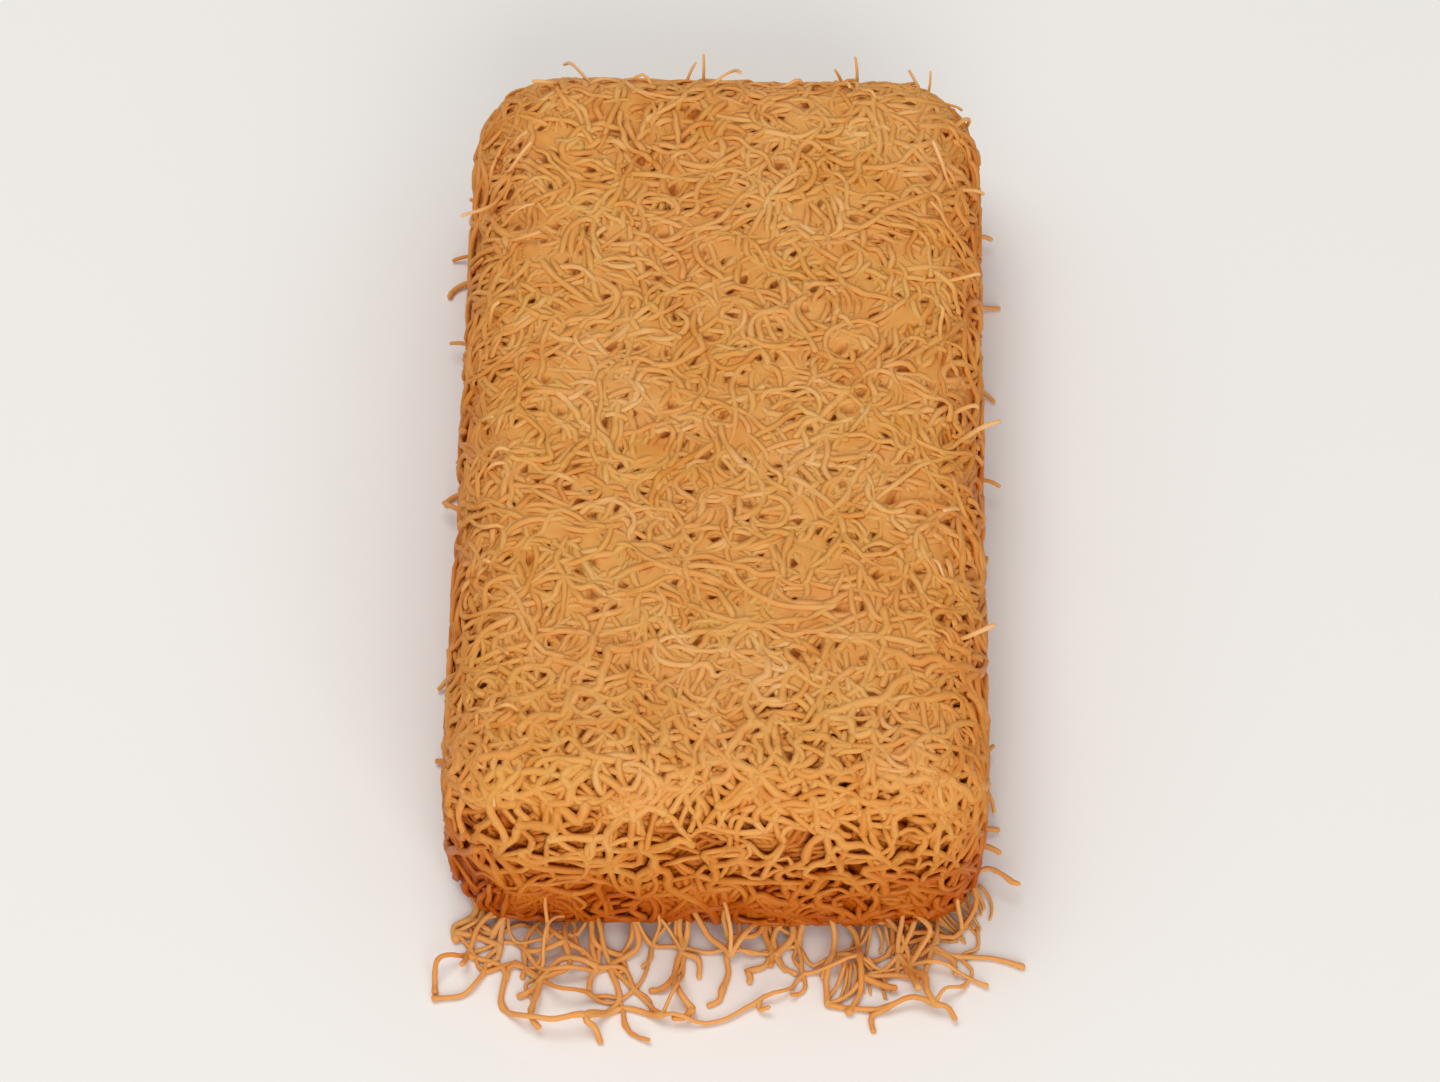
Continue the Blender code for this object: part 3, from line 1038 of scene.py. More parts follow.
@dataclass
class FringeNet(FusedNet):
    """The loose strands at the front foot, which lie on what the block stands on."""

    tries: int = 900
    spare: int = 8  # times as many places on the whole edge as its front needs
    reach: Pair = in_mm(1.5, 12)  # how far from the foot the knots lie
    apart: Pair = in_mm(3.2, 5.6)  # from knot to knot, near the foot and far out
    farthest: float = 9 * MM
    missing: float = 0.2
    bow: float = 0.15
    uneven_gaps: Pair = (0.8, 1.4)
    facing: float = -0.62  # the part of the plan's edge whose outward Y is below this has loose strands
    roots: int = 34  # where strands leave the block
    heights: Pair = in_mm(0.8, 4.5)  # of the roots
    low_power: float = 1.6  # how much more of the roots lie low
    root_depth: float = 1.6 * MM
    stacked: float = 1.2  # how far strands lie on others at their knots, as a share of the radius
    tips: float = 0.6  # the share of knots that a loose end hangs from
    tip: Pair = in_mm(1.5, 3.8)
    tip_spread: float = 0.7  # from straight out, in radians
    hump: float = 1.2 * MM
    humps: Mottle = Mottle(9 * MM, 44)
    kinks: tuple[Mottle, Mottle] = (Mottle(3.5 * MM, 42, 0.07 * MM), Mottle(3.5 * MM, 43, 0.07 * MM))
    # partly painted shade: set a little darker than the strands' own colour
    tone: float = 0.68
    blotches: Mottle = Mottle(6 * MM, 41, 0.04)  # of the tone
    strand_tones: float = 0.06
    grain: float = 0.015
    tint: Pair = (0.04, 0.12)  # the usual one, pinker partly as a painted reddish reflection, and how much strands differ
    radius: float = 0.31 * MM
    thickness: Pair = (0.68, 1.35)
    flare: float = 0.35
    squash: float = 0.92
    rows: int = 26
    sides: int = 6
    seed: int = 74

    def outward(self, places: Array) -> Array:
        """The directions out of the table that the net lies on."""
        return all_up(places.shape[:-1])

    def front_edge(self, count: int) -> tuple[Array, Array]:
        """Spreads places over the front of the plan's edge.

        Args:
            count: How many places.

        Returns:
            Places at height 0, and the outward directions there.
        """
        points, outs = self.form.block.edge(even_pairs(self.spare * count, self.rng)[:, 0])
        chosen = np.flatnonzero(outs[:, 1] < self.facing)[:count]
        return points[chosen], outs[chosen]

    def knots(self) -> tuple[Array, int]:
        """Spreads the knots over the table, and the roots along the foot.

        Returns:
            The places of the knots, with those of the roots last, and how many knots are on the table.
        """
        points, outs = self.front_edge(self.tries)
        share = self.rng.random(len(points))
        points = points + outs * between(self.reach, share)[:, None]
        gaps = between(self.apart, share) * self.rng.uniform(*self.uneven_gaps, len(points))
        points = spaced(points, gaps)
        points[:, 2] = self.radius * (1 + self.stacked * self.rng.random(len(points)) ** 2)
        roots, outs = self.front_edge(self.roots)
        roots = roots - outs * self.root_depth
        roots[:, 2] = between(self.heights, self.rng.random(len(roots)) ** self.low_power)
        return np.concatenate([points, roots]), len(points)

    def with_tips(self, knots: Array, links: Array, lying: int) -> tuple[Array, Array]:
        """Hangs loose ends from some of the knots.

        Args:
            knots: The knots' places.
            links: Pairs of knots by number.
            lying: How many knots are on the table.

        Returns:
            The knots with the loose ends' places last, and the links with theirs.
        """
        chosen = np.flatnonzero((self.rng.random(lying) < self.tips) & np.isin(np.arange(lying), links))
        _, outs = self.form.block.plan_gap(knots[chosen])
        ways = turned(outs, all_up(chosen.shape), self.rng.normal(0, self.tip_spread, len(chosen)))
        ends = knots[chosen] + ways * self.rng.uniform(*self.tip, (len(chosen), 1))
        ends[:, 2] = self.radius
        fresh = np.stack([chosen, len(knots) + np.arange(len(chosen))], axis=1)
        return np.concatenate([knots, ends]), np.concatenate([links, fresh])

    def blunted(self, knots: Array, links: Array, lying: int) -> Array:
        """Breaks the longer of the two links at each knot where only two meet, in a point.

        Args:
            knots: The knots' places.
            links: Pairs of knots by number.
            lying: How many knots are on the table.

        Returns:
            The links that are left.
        """
        for knot in range(lying):
            held = np.flatnonzero((links == knot).any(axis=1))
            arms = knots[links[held].sum(axis=1) - knot] - knots[knot]
            if len(held) == 2 and unit(arms[0]) @ unit(arms[1]) > self.straight:
                links = np.delete(links, held[np.linalg.norm(arms, axis=1).argmax()], axis=0)
        return links

    def rooted(self, links: Array, count: int, lying: int) -> Array:
        """Leaves out the links that don't hang together with the block.

        Args:
            links: Pairs of knots by number.
            count: How many knots there are.
            lying: How many of them are on the table.

        Returns:
            The links that are left.
        """
        reached = np.arange(count) >= lying
        for _ in range(count):
            reached[links[reached[links].any(axis=1)]] = True
        return links[reached[links].all(axis=1)]

    def batch(self) -> StrandBatch:
        """Lays the loose strands.

        Returns:
            Their centre lines and finish.
        """
        knots, lying = self.knots()
        links = self.links(knots, self.missing)
        links = self.blunted(knots, links[links.min(axis=1) < lying], lying)
        knots, links = self.with_tips(knots, self.rooted(links, len(knots), lying), lying)
        paths = self.paths(knots, links)
        shape = paths.shape[:2]
        kinks = np.stack([kinks.at(paths) for kinks in self.kinks], axis=-1)
        humps = self.hump * np.maximum(self.humps.at(paths), 0)
        radii = self.radii(paths, knots[:lying])
        paths[:, :, :2] += kinks
        paths[:, :, 2] = np.maximum(paths[:, :, 2] + humps, self.squash * radii)
        tones = self.tone + self.blotches.at(paths)
        tones += for_each(0, self.strand_tones, shape, self.rng) + self.rng.normal(0, self.grain, shape)
        tints = for_each(*self.tint, shape, self.rng)
        return StrandBatch(paths, all_up(shape), radii, tints, tones, self.squash, self.sides)


@dataclass
class LooseEnds:
    """What short loose strands have in common: how thick they are and how much they differ."""

    form: PressedForm
    rows: int = 8
    radius: float = 0.22 * MM
    thickness: Pair = (0.85, 1.2)  # from strand to strand
    taper: Pair = (1.1, 0.75)  # of the radius, at the root and at the tip
    tone: Pair = (0.7, 0.05)  # the usual one, and how much strands differ
    grain: float = 0.0  # of the tone, from point to point
    tint: Pair = (0.2, 0.1)
    squash: float = 0.95
    sides: int = 5
    seed: int = 70

    def __post_init__(self) -> None:
        """Seeds its chance."""
        self.rng = np.random.default_rng(self.seed)

    def arcs(self, starts: Array, ends: Array, asides: Array) -> Array:
        """Draws plain arcs.

        Args:
            starts: Where they start.
            ends: Where they end.
            asides: How far their middles lie off the straight way.

        Returns:
            Their points, along one more axis.
        """
        run = np.linspace(0, 1, self.rows)[:, None]
        straight = starts[..., None, :] + (ends - starts)[..., None, :] * run
        return straight + 4 * asides[..., None, :] * run * (1 - run)

    def finished(self, paths: Array, ups: Array) -> StrandBatch:
        """Gives strands their thickness and colours.

        Args:
            paths: Their centre lines, as places by strand and point.
            ups: The directions that they are flattened in.

        Returns:
            The strands.
        """
        shape = paths.shape[:2]
        tones = for_each(*self.tone, shape, self.rng)
        if self.grain:
            tones += self.rng.normal(0, self.grain, shape)
        tints = for_each(*self.tint, shape, self.rng)
        radii = self.radius * self.rng.uniform(*self.thickness, (shape[0], 1))
        radii = radii * np.linspace(*self.taper, shape[1])
        return StrandBatch(paths, ups, radii, tints, tones, self.squash, self.sides)


@dataclass
class FootStrays(LooseEnds):
    """Short loose ends that come out near the foot of the sides and back."""

    count: int = 30
    spare: int = 2  # times as many places on the whole edge as its sides and back need
    facing: float = -0.5  # the part of the plan's edge whose outward Y is above this has strays
    step: Pair = in_mm(0.35, 0.7)
    heights: Pair = in_mm(0.6, 4)  # where they leave the block
    low_power: float = 1.5  # how much more of them leave it low down
    slant: float = 1.1  # either way from straight out, in radians
    curl: float = 5 * MM
    unsteady: float = 0.3  # of a usual bend, at each step
    root: float = 2 * MM  # of each strand inside the block
    falls: Pair = (0.6, 1.6)  # where a strand falls, as shares of its height and root
    lying: float = 1.1  # how high its middle lies then, as a share of the radius
    rows: int = 10
    radius: float = 0.39 * MM
    thickness: Pair = (0.75, 1.1)
    taper: Pair = (1.0, 0.8)
    tone: Pair = (0.66, 0.06)
    grain: float = 0.015
    tint: Pair = (0.35, 0.14)
    squash: float = 0.92
    sides: int = 6
    seed: int = 41

    def batch(self) -> StrandBatch:
        """Lays the loose ends.

        Returns:
            Their centre lines and finish.
        """
        points, outs = self.form.block.edge(even_pairs(self.spare * self.count, self.rng)[:, 0])
        chosen = np.flatnonzero(outs[:, 1] > self.facing)[: self.count]
        count = len(chosen)
        points = points[chosen] - outs[chosen] * self.root
        points[:, 2] = between(self.heights, self.rng.random(count) ** self.low_power)
        ups = all_up(chosen.shape)
        ways = turned(outs[chosen], ups, self.rng.uniform(-self.slant, self.slant, count))
        steps = self.rng.uniform(*self.step, count)
        bends = self.rng.normal(0, 1 / self.curl, count)
        found = [points]
        for _ in range(self.rows - 1):
            bends = bends + self.rng.normal(0, self.unsteady / self.curl, count)
            ways = turned(ways, ups, bends * steps)
            found.append(found[-1] + ways * steps[:, None])
        paths = np.stack(found, axis=1)
        run = steps[:, None] * np.arange(self.rows)
        fallen = ease(run / (self.root + points[:, 2:]), *self.falls)
        paths[:, :, 2] = points[:, 2:] * (1 - fallen) + self.lying * self.radius * fallen
        return self.finished(paths, all_up(paths.shape[:2]))


@dataclass(frozen=True)
class Fan:
    """One fan of stubs: where it starts, which way its middle points and how big it is."""

    side: float
    ahead: float  # of the front of the block
    heading: float  # from straight ahead, in radians
    length: float
    width: float = 2.6 * MM  # of the row that the stubs start from
    spread: float = 1.15  # from the first stub to the last, in radians
    stubs: int = 9


@dataclass
class StubFans(LooseEnds):
    """Fans of short fine strands at the front foot, each held together by the strand it hangs from."""

    fans: tuple[Fan, ...] = (
        Fan(16 * MM, 3.5 * MM, 0.15, 5.2 * MM),
        Fan(23 * MM, 0.2 * MM, -0.5, 3.4 * MM),
        Fan(20 * MM, -1.0 * MM, 0.05, 3.6 * MM, width=8 * MM, spread=0.5, stubs=11),
        Fan(26.5 * MM, -3.8 * MM, 0.75, 4.0 * MM, width=9 * MM, spread=-0.9, stubs=15),
    )
    uneven_turn: float = 0.07
    lengths: Pair = (0.65, 1.1)  # as shares of the fan's
    bow: float = 0.08  # as a share of the fan's length
    heights: Pair = in_mm(0.3, 1.2)  # of their starts over where their tips lie

    def batch(self) -> StrandBatch:
        """Lays the stubs.

        Returns:
            Their centre lines and finish.
        """
        falling = np.linspace(1, 0, self.rows) ** 2
        paths = []
        for fan in self.fans:
            middle = np.array([fan.side, -self.form.block.length / 2 - fan.ahead, 0.0])
            row = np.array([math.cos(fan.heading), math.sin(fan.heading), 0.0]) * fan.width
            for place in np.linspace(-0.5, 0.5, fan.stubs):
                angle = fan.heading + place * fan.spread + self.rng.normal(0, self.uneven_turn)
                way = np.array([math.sin(angle), -math.cos(angle), 0.0])
                start = middle + place * row
                end = start + way * fan.length * self.rng.uniform(*self.lengths)
                aside = np.cross(UP, way) * self.rng.normal(0, self.bow) * fan.length
                line = self.arcs(start, end, aside)
                line[:, 2] = self.radius + self.rng.uniform(*self.heights) * falling
                paths.append(line)
        paths = np.stack(paths)
        return self.finished(paths, all_up(paths.shape[:2]))


@dataclass
class StandingHairs(LooseEnds):
    """A few fine dry strands that stand up from the back edge."""

    places: tuple[float, ...] = (-4.7 * MM, -3.0 * MM, 13.4 * MM, 15.3 * MM, 26 * MM)  # from side to side
    lengths: tuple[float, ...] = (2.2 * MM, 3.1 * MM, 1.5 * MM, 3.0 * MM, 2.4 * MM)  # out of the skin
    leans: tuple[float, ...] = (0.45, 0.02, -0.5, -0.05, 0.12)  # to the right, as a share of the rise
    back_lean: float = 0.5
    bow: float = 0.3 * MM
    root: float = 1.2 * MM
    radius: float = 0.21 * MM
    tone: Pair = (0.82, 0.04)
    tint: Pair = (0.7, 0.08)
    seed: int = 80

    def batch(self) -> StrandBatch:
        """Stands the hairs up.

        Returns:
            Their centre lines and finish.
        """
        count, block = len(self.places), self.form.block
        roots = np.tile([0.0, block.length / 2, block.height], (count, 1))
        roots[:, 0] = self.places
        ways = unit(np.stack([self.leans, np.full(count, self.back_lean), np.ones(count)], axis=1))
        starts = block.on_skin(roots) - ways * self.root
        ends = starts + ways * (np.array(self.lengths)[:, None] + self.root)
        paths = self.arcs(starts, ends, np.cross(UP, ways) * self.rng.normal(0, self.bow, (count, 1)))
        ups = np.tile([1.0, 0.0, 0.0], paths.shape[:2] + (1,))
        return self.finished(paths, ups)


@dataclass
class PressedCore:
    """The matted inside of the block, which shows as fill and pits between the strands, painted darker as
    shade.
    """

    form: PressedForm
    pits: PitField
    cell: float = 0.42 * MM
    row: float = 1.0 * MM
    insets: tuple[float, ...] = in_mm(2, 5)  # of the rows on the underside
    upward: Pair = (0.2, 0.7)  # the outward Z over which the pits fade in
    downward: float = -0.7  # the outward Z below which the base lies
    base_depth: float = 0.5 * MM
    lowest: float = 0.3 * MM  # how far it stays off the table
    loosened: Pair = (0.25, 0.9)  # the looseness over which its painted shade grows
    painted_gap_shade: Pair = (0.03, 0.23)  # painted shade in the gaps: how much darker, where it is matted and where it is loose
    # painted shade: how much darker in the pits
    painted_pit_shade: float = 0.12
    tone_blotches: Mottle = Mottle(1.5 * MM, 23, 0.04)
    tint_blotches: Mottle = Mottle(3 * MM, 24, 0.06)

    def shell(self) -> tuple[Array, Array, Array]:
        """A box of the block's size, with fine cells on top and coarser rows down its sides.

        Returns:
            Places, the vertex of each face corner, and how many corners each face has.
        """
        block = self.form.block
        half = np.array([block.width, block.length]) / 2
        counts = np.round(2 * half / self.cell).astype(int)
        lines = [np.linspace(-h, h, n + 1) for h, n in zip(half, counts)]
        plan = np.stack(np.meshgrid(*lines, indexing="ij"), axis=-1)
        top = np.concatenate([plan, np.full(plan.shape[:2] + (1,), block.height)], axis=-1)
        numbers = np.arange(top.shape[0] * top.shape[1]).reshape(top.shape[:2])
        cells = [numbers[:-1, :-1], numbers[1:, :-1], numbers[1:, 1:], numbers[:-1, 1:]]
        border = np.concatenate([numbers[:-1, 0], numbers[-1, :-1], numbers[:0:-1, -1], numbers[0, :0:-1]])
        heights = np.linspace(block.height, 0, round(block.height / self.row) + 1)[1:]
        rings = [(0.0, z) for z in heights] + [(inset, 0.0) for inset in self.insets]
        edge = top.reshape(-1, 3)[border]
        loops = [border]
        places = [top.reshape(-1, 3)]
        for inset, z in rings:
            ring = edge.copy()
            ring[:, :2] *= 1 - inset / half
            ring[:, 2] = z
            loops.append(np.arange(len(border)) + sum(len(p) for p in places))
            places.append(ring)
        loops = np.array(loops)
        ahead = np.roll(loops, -1, axis=1)
        walls = np.stack([loops[:-1], loops[1:], ahead[1:], ahead[:-1]], axis=-1)
        quads = np.concatenate([np.stack(cells, axis=-1).reshape(-1, 4), walls.reshape(-1, 4)])
        sizes = np.append(np.full(len(quads), 4), len(border))
        return np.concatenate(places), np.concatenate([quads.ravel(), loops[-1][::-1]]), sizes

    def mesh(self, name: str) -> bpy.types.Mesh:
        """Sinks the shell to the fill's uneven surface.

        Args:
            name: The mesh's name.

        Returns:
            The mesh, with its palette map.
        """
        places, corners, sizes = self.shell()
        points = self.form.block.on_skin(places)
        _, normals = self.form.block.skin(points)
        pits = self.pits.share(points) * ease(normals[:, 2], *self.upward)
        depths = self.form.fill_depth(points, normals) + self.pits.depth * pits
        depths = np.where(normals[:, 2] < self.downward, self.base_depth, depths)
        sunk = points - normals * depths[:, None]
        sunk[:, 2] = np.maximum(sunk[:, 2], self.lowest)
        loose = ease(self.form.looseness(points, normals), *self.loosened)
        tones = self.form.tone(points, normals, depths) + self.tone_blotches.at(points)
        # painted shade: the fill is darker under loose strands and in the pits
        tones -= between(self.painted_gap_shade, loose) + self.painted_pit_shade * pits
        tints = self.form.tint(points) + self.tint_blotches.at(points)
        return mesh_from_arrays(name, sunk, corners, sizes, on_palette(tints, tones))


# ---------------------------------------------------------------- finishes


def add_node(tree: bpy.types.NodeTree, kind: str, links: dict, **settings: object) -> bpy.types.Node:
    """Adds a node with its settings and links.

    Args:
        tree: The node tree.
        kind: The node's Blender type.
        links: Input name or number to an output socket, or to a plain value.
        **settings: Properties of the node.

    Returns:
        The node.
    """
    node = tree.nodes.new(kind)
    for name, value in settings.items():
        setattr(node, name, value)
    for key, value in links.items():
        if isinstance(value, bpy.types.NodeSocket):
            tree.links.new(value, node.inputs[key])
        else:
            node.inputs[key].default_value = value
    return node


@dataclass(frozen=True)
class BakedPastry:
    """Kataifi dough, spun from flour and water, buttered, baked and soaked with syrup.

    Each strand is a slightly translucent thread with a thin film of butter, from deep amber to pale gold.
    Where a strand lies on the palette says how pink or yellow it baked (across) and how dark it is (up);
    that darkness is partly browning and partly painted shade, deepest in the gaps, lightest outside.
    """

    # colours along the tone, which carries both browning and painted shade
    browning_and_shade: tuple[tuple[float, str], ...] = (
        (0.0, "b25004"),
        (0.2, "c2660e"),
        (0.4, "cd7a25"),
        (0.6, "dc9444"),
        (0.8, "e6a95e"),
        (1.0, "f2c48a"),
    )
    sides: tuple[tuple[float, str], ...] = ((0.1, "de8f58"), (0.9, "d99e48"))  # pinker and yellower
    side_share: float = 0.32
    roughness: Pair = (0.32, 0.64)
    gloss: float = 0.2
    translucence: float = 0.15
    translucent_depth: float = 0.8 * MM
    reach_of_light: tuple[float, float, float] = (1.0, 0.5, 0.22)  # red, green and blue, of that depth

    def material(self) -> bpy.types.Material:
        """The finish as a node material."""
        made = bpy.data.materials.new("baked_kataifi_pastry")
        made.use_nodes = True
        tree = made.node_tree
        spot = add_node(tree, "ShaderNodeUVMap", {}, uv_map=PALETTE_MAP)
        parts = add_node(tree, "ShaderNodeSeparateXYZ", {0: spot.outputs["UV"]})
        browned_and_shaded = add_node(tree, "ShaderNodeValToRGB", {0: parts.outputs["Y"]})
        self.fill(browned_and_shaded.color_ramp, self.browning_and_shade)
        sides = add_node(tree, "ShaderNodeValToRGB", {0: parts.outputs["X"]})
        self.fill(sides.color_ramp, self.sides)
        share = self.ranged(tree, parts.outputs["Y"], (0.0, self.side_share))
        colours = {0: share, 6: browned_and_shaded.outputs["Color"], 7: sides.outputs["Color"]}
        tinted = add_node(tree, "ShaderNodeMix", colours, data_type="RGBA", blend_type="MIX")
        rough = self.ranged(tree, parts.outputs["Y"], self.roughness)
        shader = tree.nodes["Principled BSDF"]
        tree.links.new(tinted.outputs[2], shader.inputs["Base Color"])
        tree.links.new(rough, shader.inputs["Roughness"])
        shader.inputs["Specular IOR Level"].default_value = self.gloss
        shader.inputs["Subsurface Weight"].default_value = self.translucence
        shader.inputs["Subsurface Radius"].default_value = self.reach_of_light
        shader.inputs["Subsurface Scale"].default_value = self.translucent_depth
        return made

    @staticmethod
    def ranged(tree: bpy.types.NodeTree, value: bpy.types.NodeSocket, ends: Pair) -> bpy.types.NodeSocket:
        """Leads a value between 0 and 1 onto a range."""
        low, high = ends
        node = add_node(tree, "ShaderNodeMapRange", {"Value": value, "To Min": low, "To Max": high})
        return node.outputs["Result"]

    @staticmethod
    def fill(ramp: bpy.types.ColorRamp, stops: tuple[tuple[float, str], ...]) -> None:
        """Sets a ramp's stops."""
        while len(ramp.elements) < len(stops):
            ramp.elements.new(0.5)
        for element, (place, colour) in zip(ramp.elements, stops):
            element.position = place
            element.color = linear(colour)


@dataclass(frozen=True)
class PaleTable:
    """A matt painted table top, which gives the eye a plain pale ground and a soft shadow."""

    colour: str = "f2efea"
    roughness: float = 0.7

    def material(self) -> bpy.types.Material:
        """The finish as a node material."""
        made = bpy.data.materials.new("matt_painted_table")
        made.use_nodes = True
        shader = made.node_tree.nodes["Principled BSDF"]
        shader.inputs["Base Color"].default_value = linear(self.colour)
        shader.inputs["Roughness"].default_value = self.roughness
        return made


# ---------------------------------------------------------------- the pastry


# The layers of strands that cover the block, from the table up.
LAYERS = (
    StrandHabit(
        "base_strands", Zone.BASE, 520, 20 * MM, 1.6 * MM, 11, sides=4, bundle=2, curl=7 * MM,
        depth=in_mm(0.42, 0.42), swing=in_mm(0.04, 0.04),
    ),
    StrandHabit(
        "wall_under_strands", Zone.WALL, 1440, 13 * MM, 1.2 * MM, 12, bundle=3, curl=7 * MM,
        depth=in_mm(0.9, 1.4), swing=in_mm(0.15, 0.25), tuck=0.7 * MM, level=0.3, proud=-0.1, squash=0.55,
    ),
    StrandHabit(
        "wall_mat_strands", Zone.WALL, 320, 16 * MM, 0.9 * MM, 13, bundle=2, curl=4.5 * MM,
        curl_run=3 * MM, depth=in_mm(0.7, 1.0), swing=in_mm(0.3, 0.45), radius=0.42 * MM,
    ),
    StrandHabit(
        "wall_loose_strands", Zone.WALL, 560, 16 * MM, 0.8 * MM, 17, curl=3.6 * MM, curl_run=2.2 * MM,
        depth=in_mm(0.35, 0.4), swing=in_mm(0.3, 0.6), wave=9 * MM, radius=0.42 * MM, thinned=0.65,
    ),
    StrandHabit(
        "front_top_strands", Zone.FRONT_TOP, 90, 15 * MM, 0.8 * MM, 19, radius=0.43 * MM, curl=3.6 * MM,
        curl_run=2.2 * MM, wave=7 * MM, depth=in_mm(0.34, 0.38), swing=in_mm(0.2, 0.5), squash=0.75,
    ),
    StrandHabit(
        "top_under_strands", Zone.TOP, 700, 13 * MM, 1.3 * MM, 18, bundle=2, sides=4, curl=4 * MM,
        depth=in_mm(0.58, 1.4), swing=in_mm(0.06, 0.4), proud=-0.85, squash=0.5,
    ),
    StrandHabit(
        "top_mat_strands", Zone.TOP, 1500, 9.5 * MM, 0.95 * MM, 14, bundle=2, radius=0.47 * MM,
        curl=3 * MM, curl_run=3 * MM, wave=4.5 * MM, depth=in_mm(0.5, 0.8), swing=in_mm(0.2, 0.6),
        tuck=0.5 * MM, proud=-1.1, squash=0.45, tightest=2 * MM, thinned=0.65,
    ),
    StrandHabit(
        "top_loose_strands", Zone.TOP, 380, 11 * MM, 0.7 * MM, 15, radius=0.43 * MM, curl=3 * MM,
        curl_run=3 * MM, wave=4.5 * MM, depth=in_mm(0.36, 0.5), swing=in_mm(0.2, 0.7), proud=-0.6,
        squash=0.55, tightest=2 * MM,
    ),
    StrandHabit(
        "lifted_hairs", Zone.RIM, 70, 8 * MM, 0.6 * MM, 16, depth=in_mm(0.4, 0.6), lift=4.5 * MM,
        tuck=2.0 * MM, radius=0.26 * MM, tone_shift=0.05,
    ),
    StrandHabit(
        "top_patch_strands", Zone.TOP, 9000, 7 * MM, 1.1 * MM, 21, curl=4 * MM, depth=in_mm(0.6, 1.5),
        swing=in_mm(0.1, 0.3), tuck=0.4 * MM, proud=-0.3, bare=0.9 * MM, squash=0.5,
    ),
    StrandHabit(
        "wall_patch_strands", Zone.WALL, 9000, 8 * MM, 1.1 * MM, 22, curl=4 * MM, depth=in_mm(0.9, 1.5),
        swing=in_mm(0.1, 0.3), tuck=0.6 * MM, proud=-0.1, bare=0.95 * MM, squash=0.55,
    ),
    StrandHabit(
        "base_patch_strands", Zone.BASE, 9000, 10 * MM, 1.4 * MM, 23, sides=4, curl=6 * MM,
        depth=in_mm(0.42, 0.42), swing=in_mm(0.04, 0.04), tuck=0.3 * MM, bare=0.95 * MM,
    ),
)


@dataclass
class Kunafa:
    """The whole baked piece: a matted core under layers of strands, with loose ones at its foot."""

    form: PressedForm
    finish: BakedPastry = BakedPastry()

    def loose_strands(self) -> dict[str, FrontNet | FringeNet | StubFans | FootStrays | StandingHairs]:
        """The net over the front, the loose strands at the foot and the hairs at the back."""
        return {
            "front_net": FrontNet(self.form),
            "front_fringe": FringeNet(self.form),
            "long_fringe": FringeNet(
                self.form, seed=75, facing=-0.72, reach=in_mm(3, 12), apart=in_mm(4.8, 7.5),
                farthest=14 * MM, roots=22, heights=in_mm(1.5, 7), missing=0.3, bow=0.2, hump=2 * MM,
                radius=0.29 * MM, rows=34,
            ),
            "corner_fringe": FringeNet(
                self.form, seed=76, facing=-0.12, reach=in_mm(0.8, 5), apart=in_mm(3, 4.6),
                farthest=8 * MM, heights=in_mm(1, 8), missing=0.3, bow=0.2, tip=in_mm(1, 2.5),
                rows=20, sides=5,
            ),
            "fringe_stubs": StubFans(self.form),
            "side_strays": FootStrays(self.form),
            "standing_hairs": StandingHairs(self.form),
        }

    def showing(self, batch: StrandBatch) -> Array:
        """Finds where strands stand out of the fill.

        Args:
            batch: The strands.

        Returns:
            The points on the skin over their points that show, one a row.
        """
        centres = batch.centres.reshape(-1, 3)
        distance, _ = self.form.block.skin(centres)
        skin = self.form.block.on_skin(centres)
        _, normals = self.form.block.skin(skin)
        tops = -distance - batch.squash * batch.radii.ravel()
        return skin[tops < self.form.fill_depth(skin, normals)]

    def build(self) -> list[bpy.types.Object]:
        """Makes the core, the layers and the fringe, and dresses them.

        Returns:
            The pieces.
        """
        material = self.finish.material()
        pits = PitField(self.form.block)
        meshes = [PressedCore(self.form, pits).mesh("pastry_core")]
        laid = np.empty((0, 3))
        for habit in LAYERS:
            batch = Layer(self.form, habit, pits, laid).batch()
            laid = np.concatenate([laid, self.showing(batch)])
            meshes.append(batch.mesh(habit.name))
        meshes += [loose.batch().mesh(name) for name, loose in self.loose_strands().items()]
        pieces = []
        total = 0
        for mesh in meshes:
            mesh.materials.append(material)
            piece = bpy.data.objects.new(mesh.name, mesh)
            bpy.context.scene.collection.objects.link(piece)
            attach(piece, BODY)
            pieces.append(piece)
            triangles = len(mesh.loops) - 2 * len(mesh.polygons)
            total += triangles
            log.info("%s: %d triangles", piece.name, triangles)
        log.info("in all: %d triangles", total)
        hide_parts(NODE)
        return pieces


# ---------------------------------------------------------------- the studio


@dataclass(frozen=True)
class Softbox:
    """A square soft light that faces the piece."""

    name: str
    place: tuple[float, float, float]
    size: float
    power: float

    def hang(self) -> None:
        """Puts the light in the scene."""
        light = bpy.data.lights.new(self.name, "AREA")
        light.energy = self.power
        light.size = self.size
        lamp = bpy.data.objects.new(self.name, light)
        lamp.location = self.place
        lamp.rotation_mode = "QUATERNION"
        lamp.rotation_quaternion = (-Vector(self.place)).to_track_quat("-Z", "Y")
        bpy.context.scene.collection.objects.link(lamp)


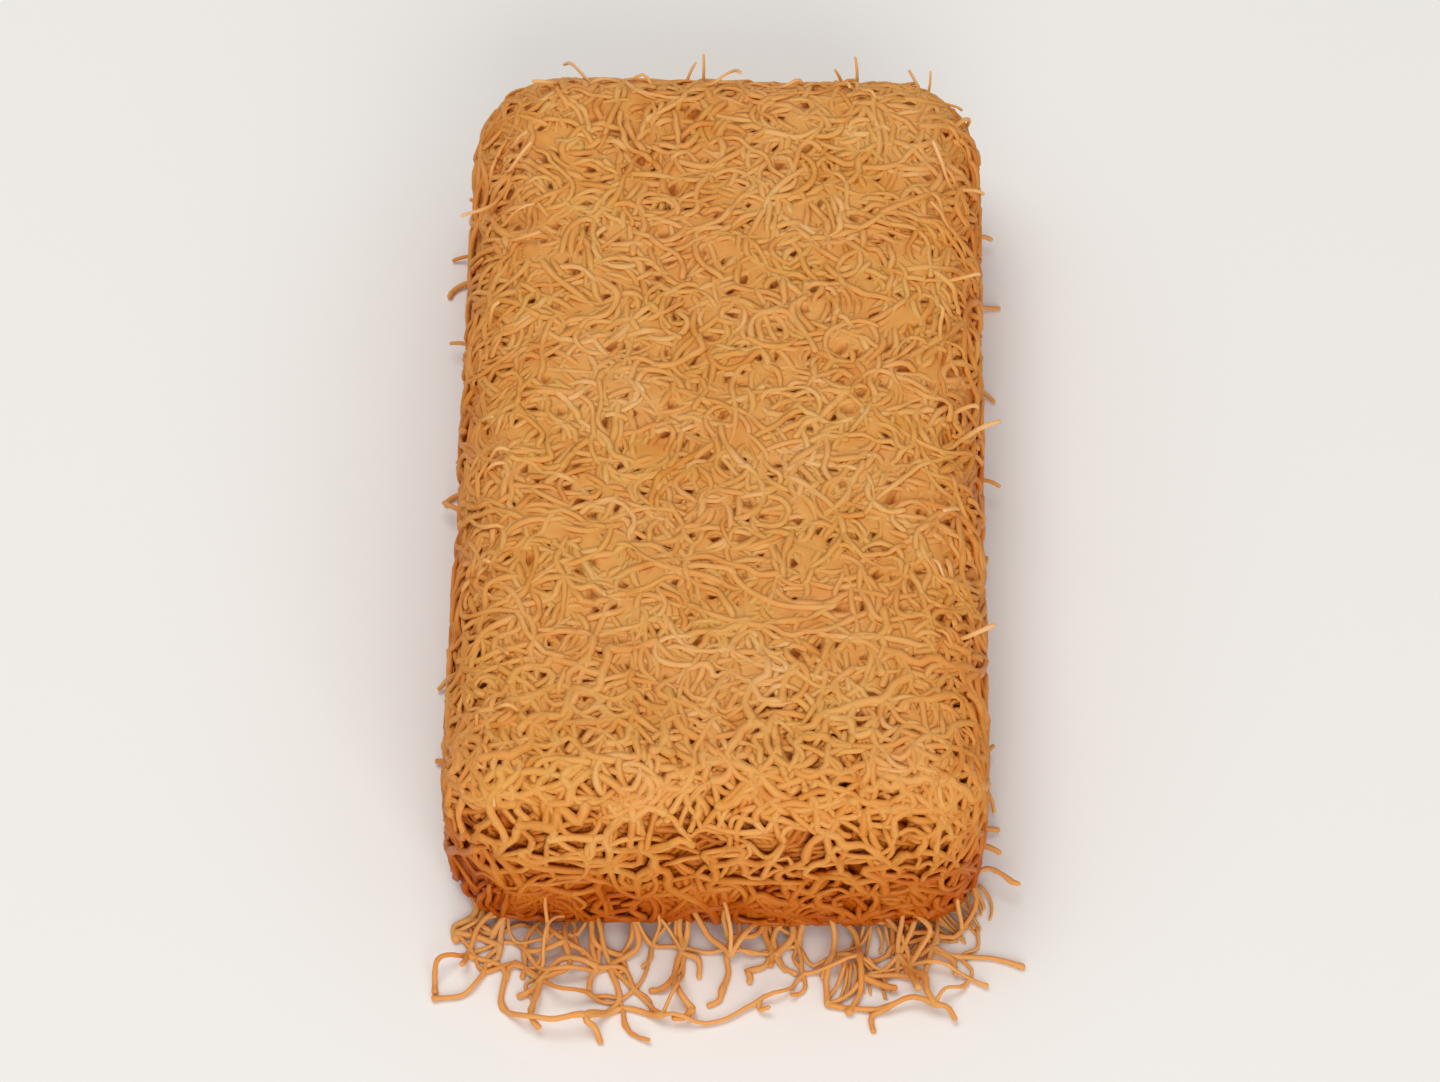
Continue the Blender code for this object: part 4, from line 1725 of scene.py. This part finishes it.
@dataclass
class Studio:
    """A pale table, soft lights and the camera."""

    block: PressedBlock
    elevation: float = 53.8
    azimuth: float = 0.9
    distance: float = 0.69
    aim: float = -9 * MM  # the Y of where the camera points, a little in front of the middle
    focal_length: float = 150.0
    sensor: float = 36.0
    clip: Pair = (0.01, 20.0)
    table_side: float = 6.0
    lights: tuple[Softbox, ...] = (
        Softbox("key_softbox", (-0.2, 0.15, 1.0), 0.7, 4.4),
        Softbox("fill_softbox", (0.2, -1.0, 0.45), 0.8, 7.0),
    )
    sky_strength: float = 0.42

    def table(self) -> bpy.types.Object:
        """The table top that the piece lies on."""
        mesh = bpy.data.meshes.new("table_top")
        half = self.table_side / 2
        corners = [(-half, -half, 0), (half, -half, 0), (half, half, 0), (-half, half, 0)]
        mesh.from_pydata(corners, [], [(0, 1, 2, 3)])
        mesh.materials.append(PaleTable().material())
        table = bpy.data.objects.new("table_top", mesh)
        bpy.context.scene.collection.objects.link(table)
        return table

    def camera(self) -> None:
        """Stands the camera where the photograph was taken from, with a longer lens."""
        turn, rise = math.radians(self.azimuth), math.radians(self.elevation)
        level = math.cos(rise)
        back = Vector((math.sin(turn) * level, -math.cos(turn) * level, math.sin(rise)))
        aim = Vector((0, self.aim, self.block.height / 2))
        lens = bpy.data.cameras.new("camera")
        lens.lens = self.focal_length
        lens.sensor_width = self.sensor
        lens.clip_start, lens.clip_end = self.clip
        camera = bpy.data.objects.new("camera", lens)
        camera.location = aim + back * self.distance
        camera.rotation_mode = "QUATERNION"
        camera.rotation_quaternion = (-back).to_track_quat("-Z", "Y")
        bpy.context.scene.collection.objects.link(camera)
        bpy.context.scene.camera = camera

    def build(self) -> None:
        """Sets up the table, the lights and the camera."""
        scene = bpy.context.scene
        self.table()
        for light in self.lights:
            light.hang()
        world = bpy.data.worlds.new("studio_air")
        world.use_nodes = True
        world.node_tree.nodes["Background"].inputs["Color"].default_value = (1.0, 1.0, 1.0, 1.0)
        world.node_tree.nodes["Background"].inputs["Strength"].default_value = self.sky_strength
        scene.world = world
        scene.view_settings.view_transform = "Standard"
        self.camera()


def main() -> None:
    """Loads the frame, dresses the piece and sets up the studio."""
    logging.basicConfig(level=logging.INFO, format="%(name)s: %(message)s")
    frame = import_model()
    block = PressedBlock.from_frame(frame["nodes"][NODE])
    log.info("block %.1f x %.1f x %.1f mm", block.width / MM, block.length / MM, block.height / MM)
    Kunafa(PressedForm(block)).build()
    Studio(block).build()


if __name__ == "__main__":
    main()
